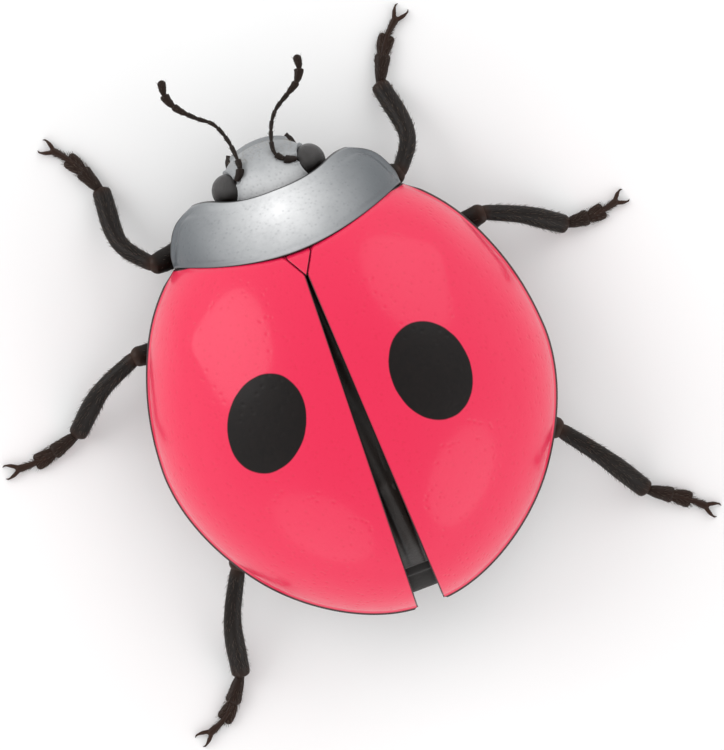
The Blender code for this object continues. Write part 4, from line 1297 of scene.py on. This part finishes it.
def foot_parts(surface, line):
    """A foot along its line: a wedge, a pad of two lobes side by side with a small link between them,
    the slender last part, and two claws that spread, curve down to the floor and bear a tooth each."""
    ahead, across, _ = path_frames(line)
    up = np.array([0.0, 0.0, 1.0])
    for start, end, out, rise, form in FOOT_PARTS:
        spread = out * eased(np.linspace(0, 1, end - start), ((0, 0.55), (1, 1.0)))[:, None]
        surface.limb(line[start:end] + across[start:end] * spread + up * rise, *form)

    root, aside = line[CLAW_START] + up * 0.008, across[CLAW_START]
    forward = ahead[CLAW_START] * np.linalg.norm(line[-1] - line[CLAW_START])
    for out in (aside, -aside):
        tip = root + forward * 0.98 + out * 0.062
        tip[2] = 0.003
        bend = [root + out * 0.014, root + forward * 0.40 + out * 0.052 + up * 0.014,
                root + forward * 0.78 + out * 0.072 - up * 0.010, tip]
        surface.limb(curve(bend, 40), ((0, 0.024), (0.35, 0.021), (0.8, 0.010), (1, 0.003)), 1.0,
                     (0.012, 0.003), 32, 16, (0.6, 0, 0))
        heading = ahead[CLAW_START] * 0.55 - up * 0.55 - out * 0.25
        tooth = root + forward * 0.24 + out * 0.040 + heading * np.linspace(0, 0.05, 14)[:, None]
        surface.limb(tooth, ((0, 0.016), (1, 0.003)), 1.0, (0.006, 0.003), 14, 12, (0.6, 0, 0))


def leg_hairs(lines, pair, name):
    """Short hairs that lean towards the foot: sparse on the thigh, dense on the shin, and a brush of
    them round the foot's pads."""
    rng = np.random.default_rng(LEG_SEED + sum(f"{pair}_{name}".encode()))
    rows = []
    for place, (part, number, stations, flat, last, (short, long)) in enumerate((
            ("thigh", 190, THIGH, THIGH_FLAT, 0.93, (0.035, 0.060)),
            ("shin", 420, SHIN, SHIN_FLAT, 0.95, (0.040, 0.070)),
            ("foot", 280, FOOT, FOOT_FLAT, 0.76, (0.028, 0.050)))):
        line = lines[part]
        ahead, across, above = path_frames(line)
        share = rng.uniform(0.06, last, number)
        at = (len(line) * share).astype(int)
        turn = rng.uniform(0, 2 * math.pi, number)[:, None]
        out = np.cos(turn) * across[at] + np.sin(turn) * above[at] * flat
        roots = line[at] + out * eased(share, stations)[:, None] * 0.95
        rows.append((roots, unit(out) * 0.55 + ahead[at] * 0.85, rng.uniform(short, long, number),
                     points((place + share) / 3, turn[:, 0] / (2 * math.pi))))
    roots, headings, lengths, skin = gathered(rows)
    clear = roots[:, 2] + unit(headings)[:, 2] * lengths - 0.2 * lengths > 0.006
    hairs(f"{pair}_hairs_{name}", DARK_HAIR, "limb", 0.0021, roots[clear], headings[clear], lengths[clear],
          skin[clear])


# ---- studio ----

def floor():
    """A pale matt floor."""
    mesh = bpy.data.meshes.new("floor")
    mesh.from_pydata([(x * FLOOR_HALF, y * FLOOR_HALF, 0) for x, y in ((-1, -1), (1, -1), (1, 1), (-1, 1))],
                     [], [(0, 1, 2, 3)])
    finish = Finish("floor_white", IOR=1.3, Roughness=0.9)
    white = finish.mixed((0.88, 0.88, 0.88), (finish.noise(40.0), (0.90, 0.90, 0.90)))
    finish.feed(finish.shader.inputs["Base Color"], white)
    mesh.materials.append(finish.material)
    placed("floor", mesh)


def lights():
    """Soft light from all round, less of it from above, and four round lamps at the body's corners."""
    world = bpy.data.worlds.new("soft_room")
    world.use_nodes = True
    room = Nodes(world.node_tree)
    direction = room.add("ShaderNodeTexCoord", output="Generated")
    upward = room.add("ShaderNodeSeparateXYZ", None, {0: direction}, 2)
    background = world.node_tree.nodes["Background"]
    room.feed(background.inputs["Strength"], 1.32 - upward.most(0.0) * 0.60)
    background.inputs["Color"].default_value = (1.0, 1.0, 1.0, 1.0)
    bpy.context.scene.world = world

    body = Vector((0.0, DOME_CENTRE_Y, 1.0)) * MM + ORIGIN
    for name, energy, heading in LAMPS:
        lamp = bpy.data.lights.new(name, "AREA")
        lamp.shape = "DISK"
        lamp.size = LAMP_SIZE
        lamp.energy = energy
        towards = Vector(heading).normalized()
        lamp = placed(name, lamp)
        lamp.location = body + towards * LAMP_DISTANCE
        lamp.rotation_mode = "QUATERNION"
        lamp.rotation_quaternion = towards.to_track_quat("Z", "Y")
        lamp.visible_camera = False
    bpy.context.scene.view_settings.view_transform = "Standard"


def camera():
    """A camera straight above, turned about the upright axis. Its lens makes the view's height at the
    floor the wanted one: lens = sensor x distance / height."""
    lens = bpy.data.cameras.new("camera")
    lens.sensor_width = 36.0
    lens.lens = lens.sensor_width * CAMERA_DISTANCE / (VIEW_HEIGHT * MM)
    lens.clip_start, lens.clip_end = 0.001, 5.0
    made = placed("camera", lens)
    made.location = Vector((*VIEW_CENTRE, 0.0)) * MM + ORIGIN + Vector((0, 0, CAMERA_DISTANCE))
    made.rotation_euler = (0.0, 0.0, math.pi - VIEW_TURN)
    bpy.context.scene.camera = made


for side, name in SIDES:
    wing_case(side, name)
    folded_wing(side, name, 0.02 if side > 0 else 0.0)
    eye(side, name)
    palp(side, name)
    feeler(name)
scutellum()
shield()
fore_body()
head()
upper_lip()
jaws()
underside()
for pair in ("fore", "mid", "hind"):
    for side, name in SIDES:
        leg(pair, name)
floor()
lights()
camera()
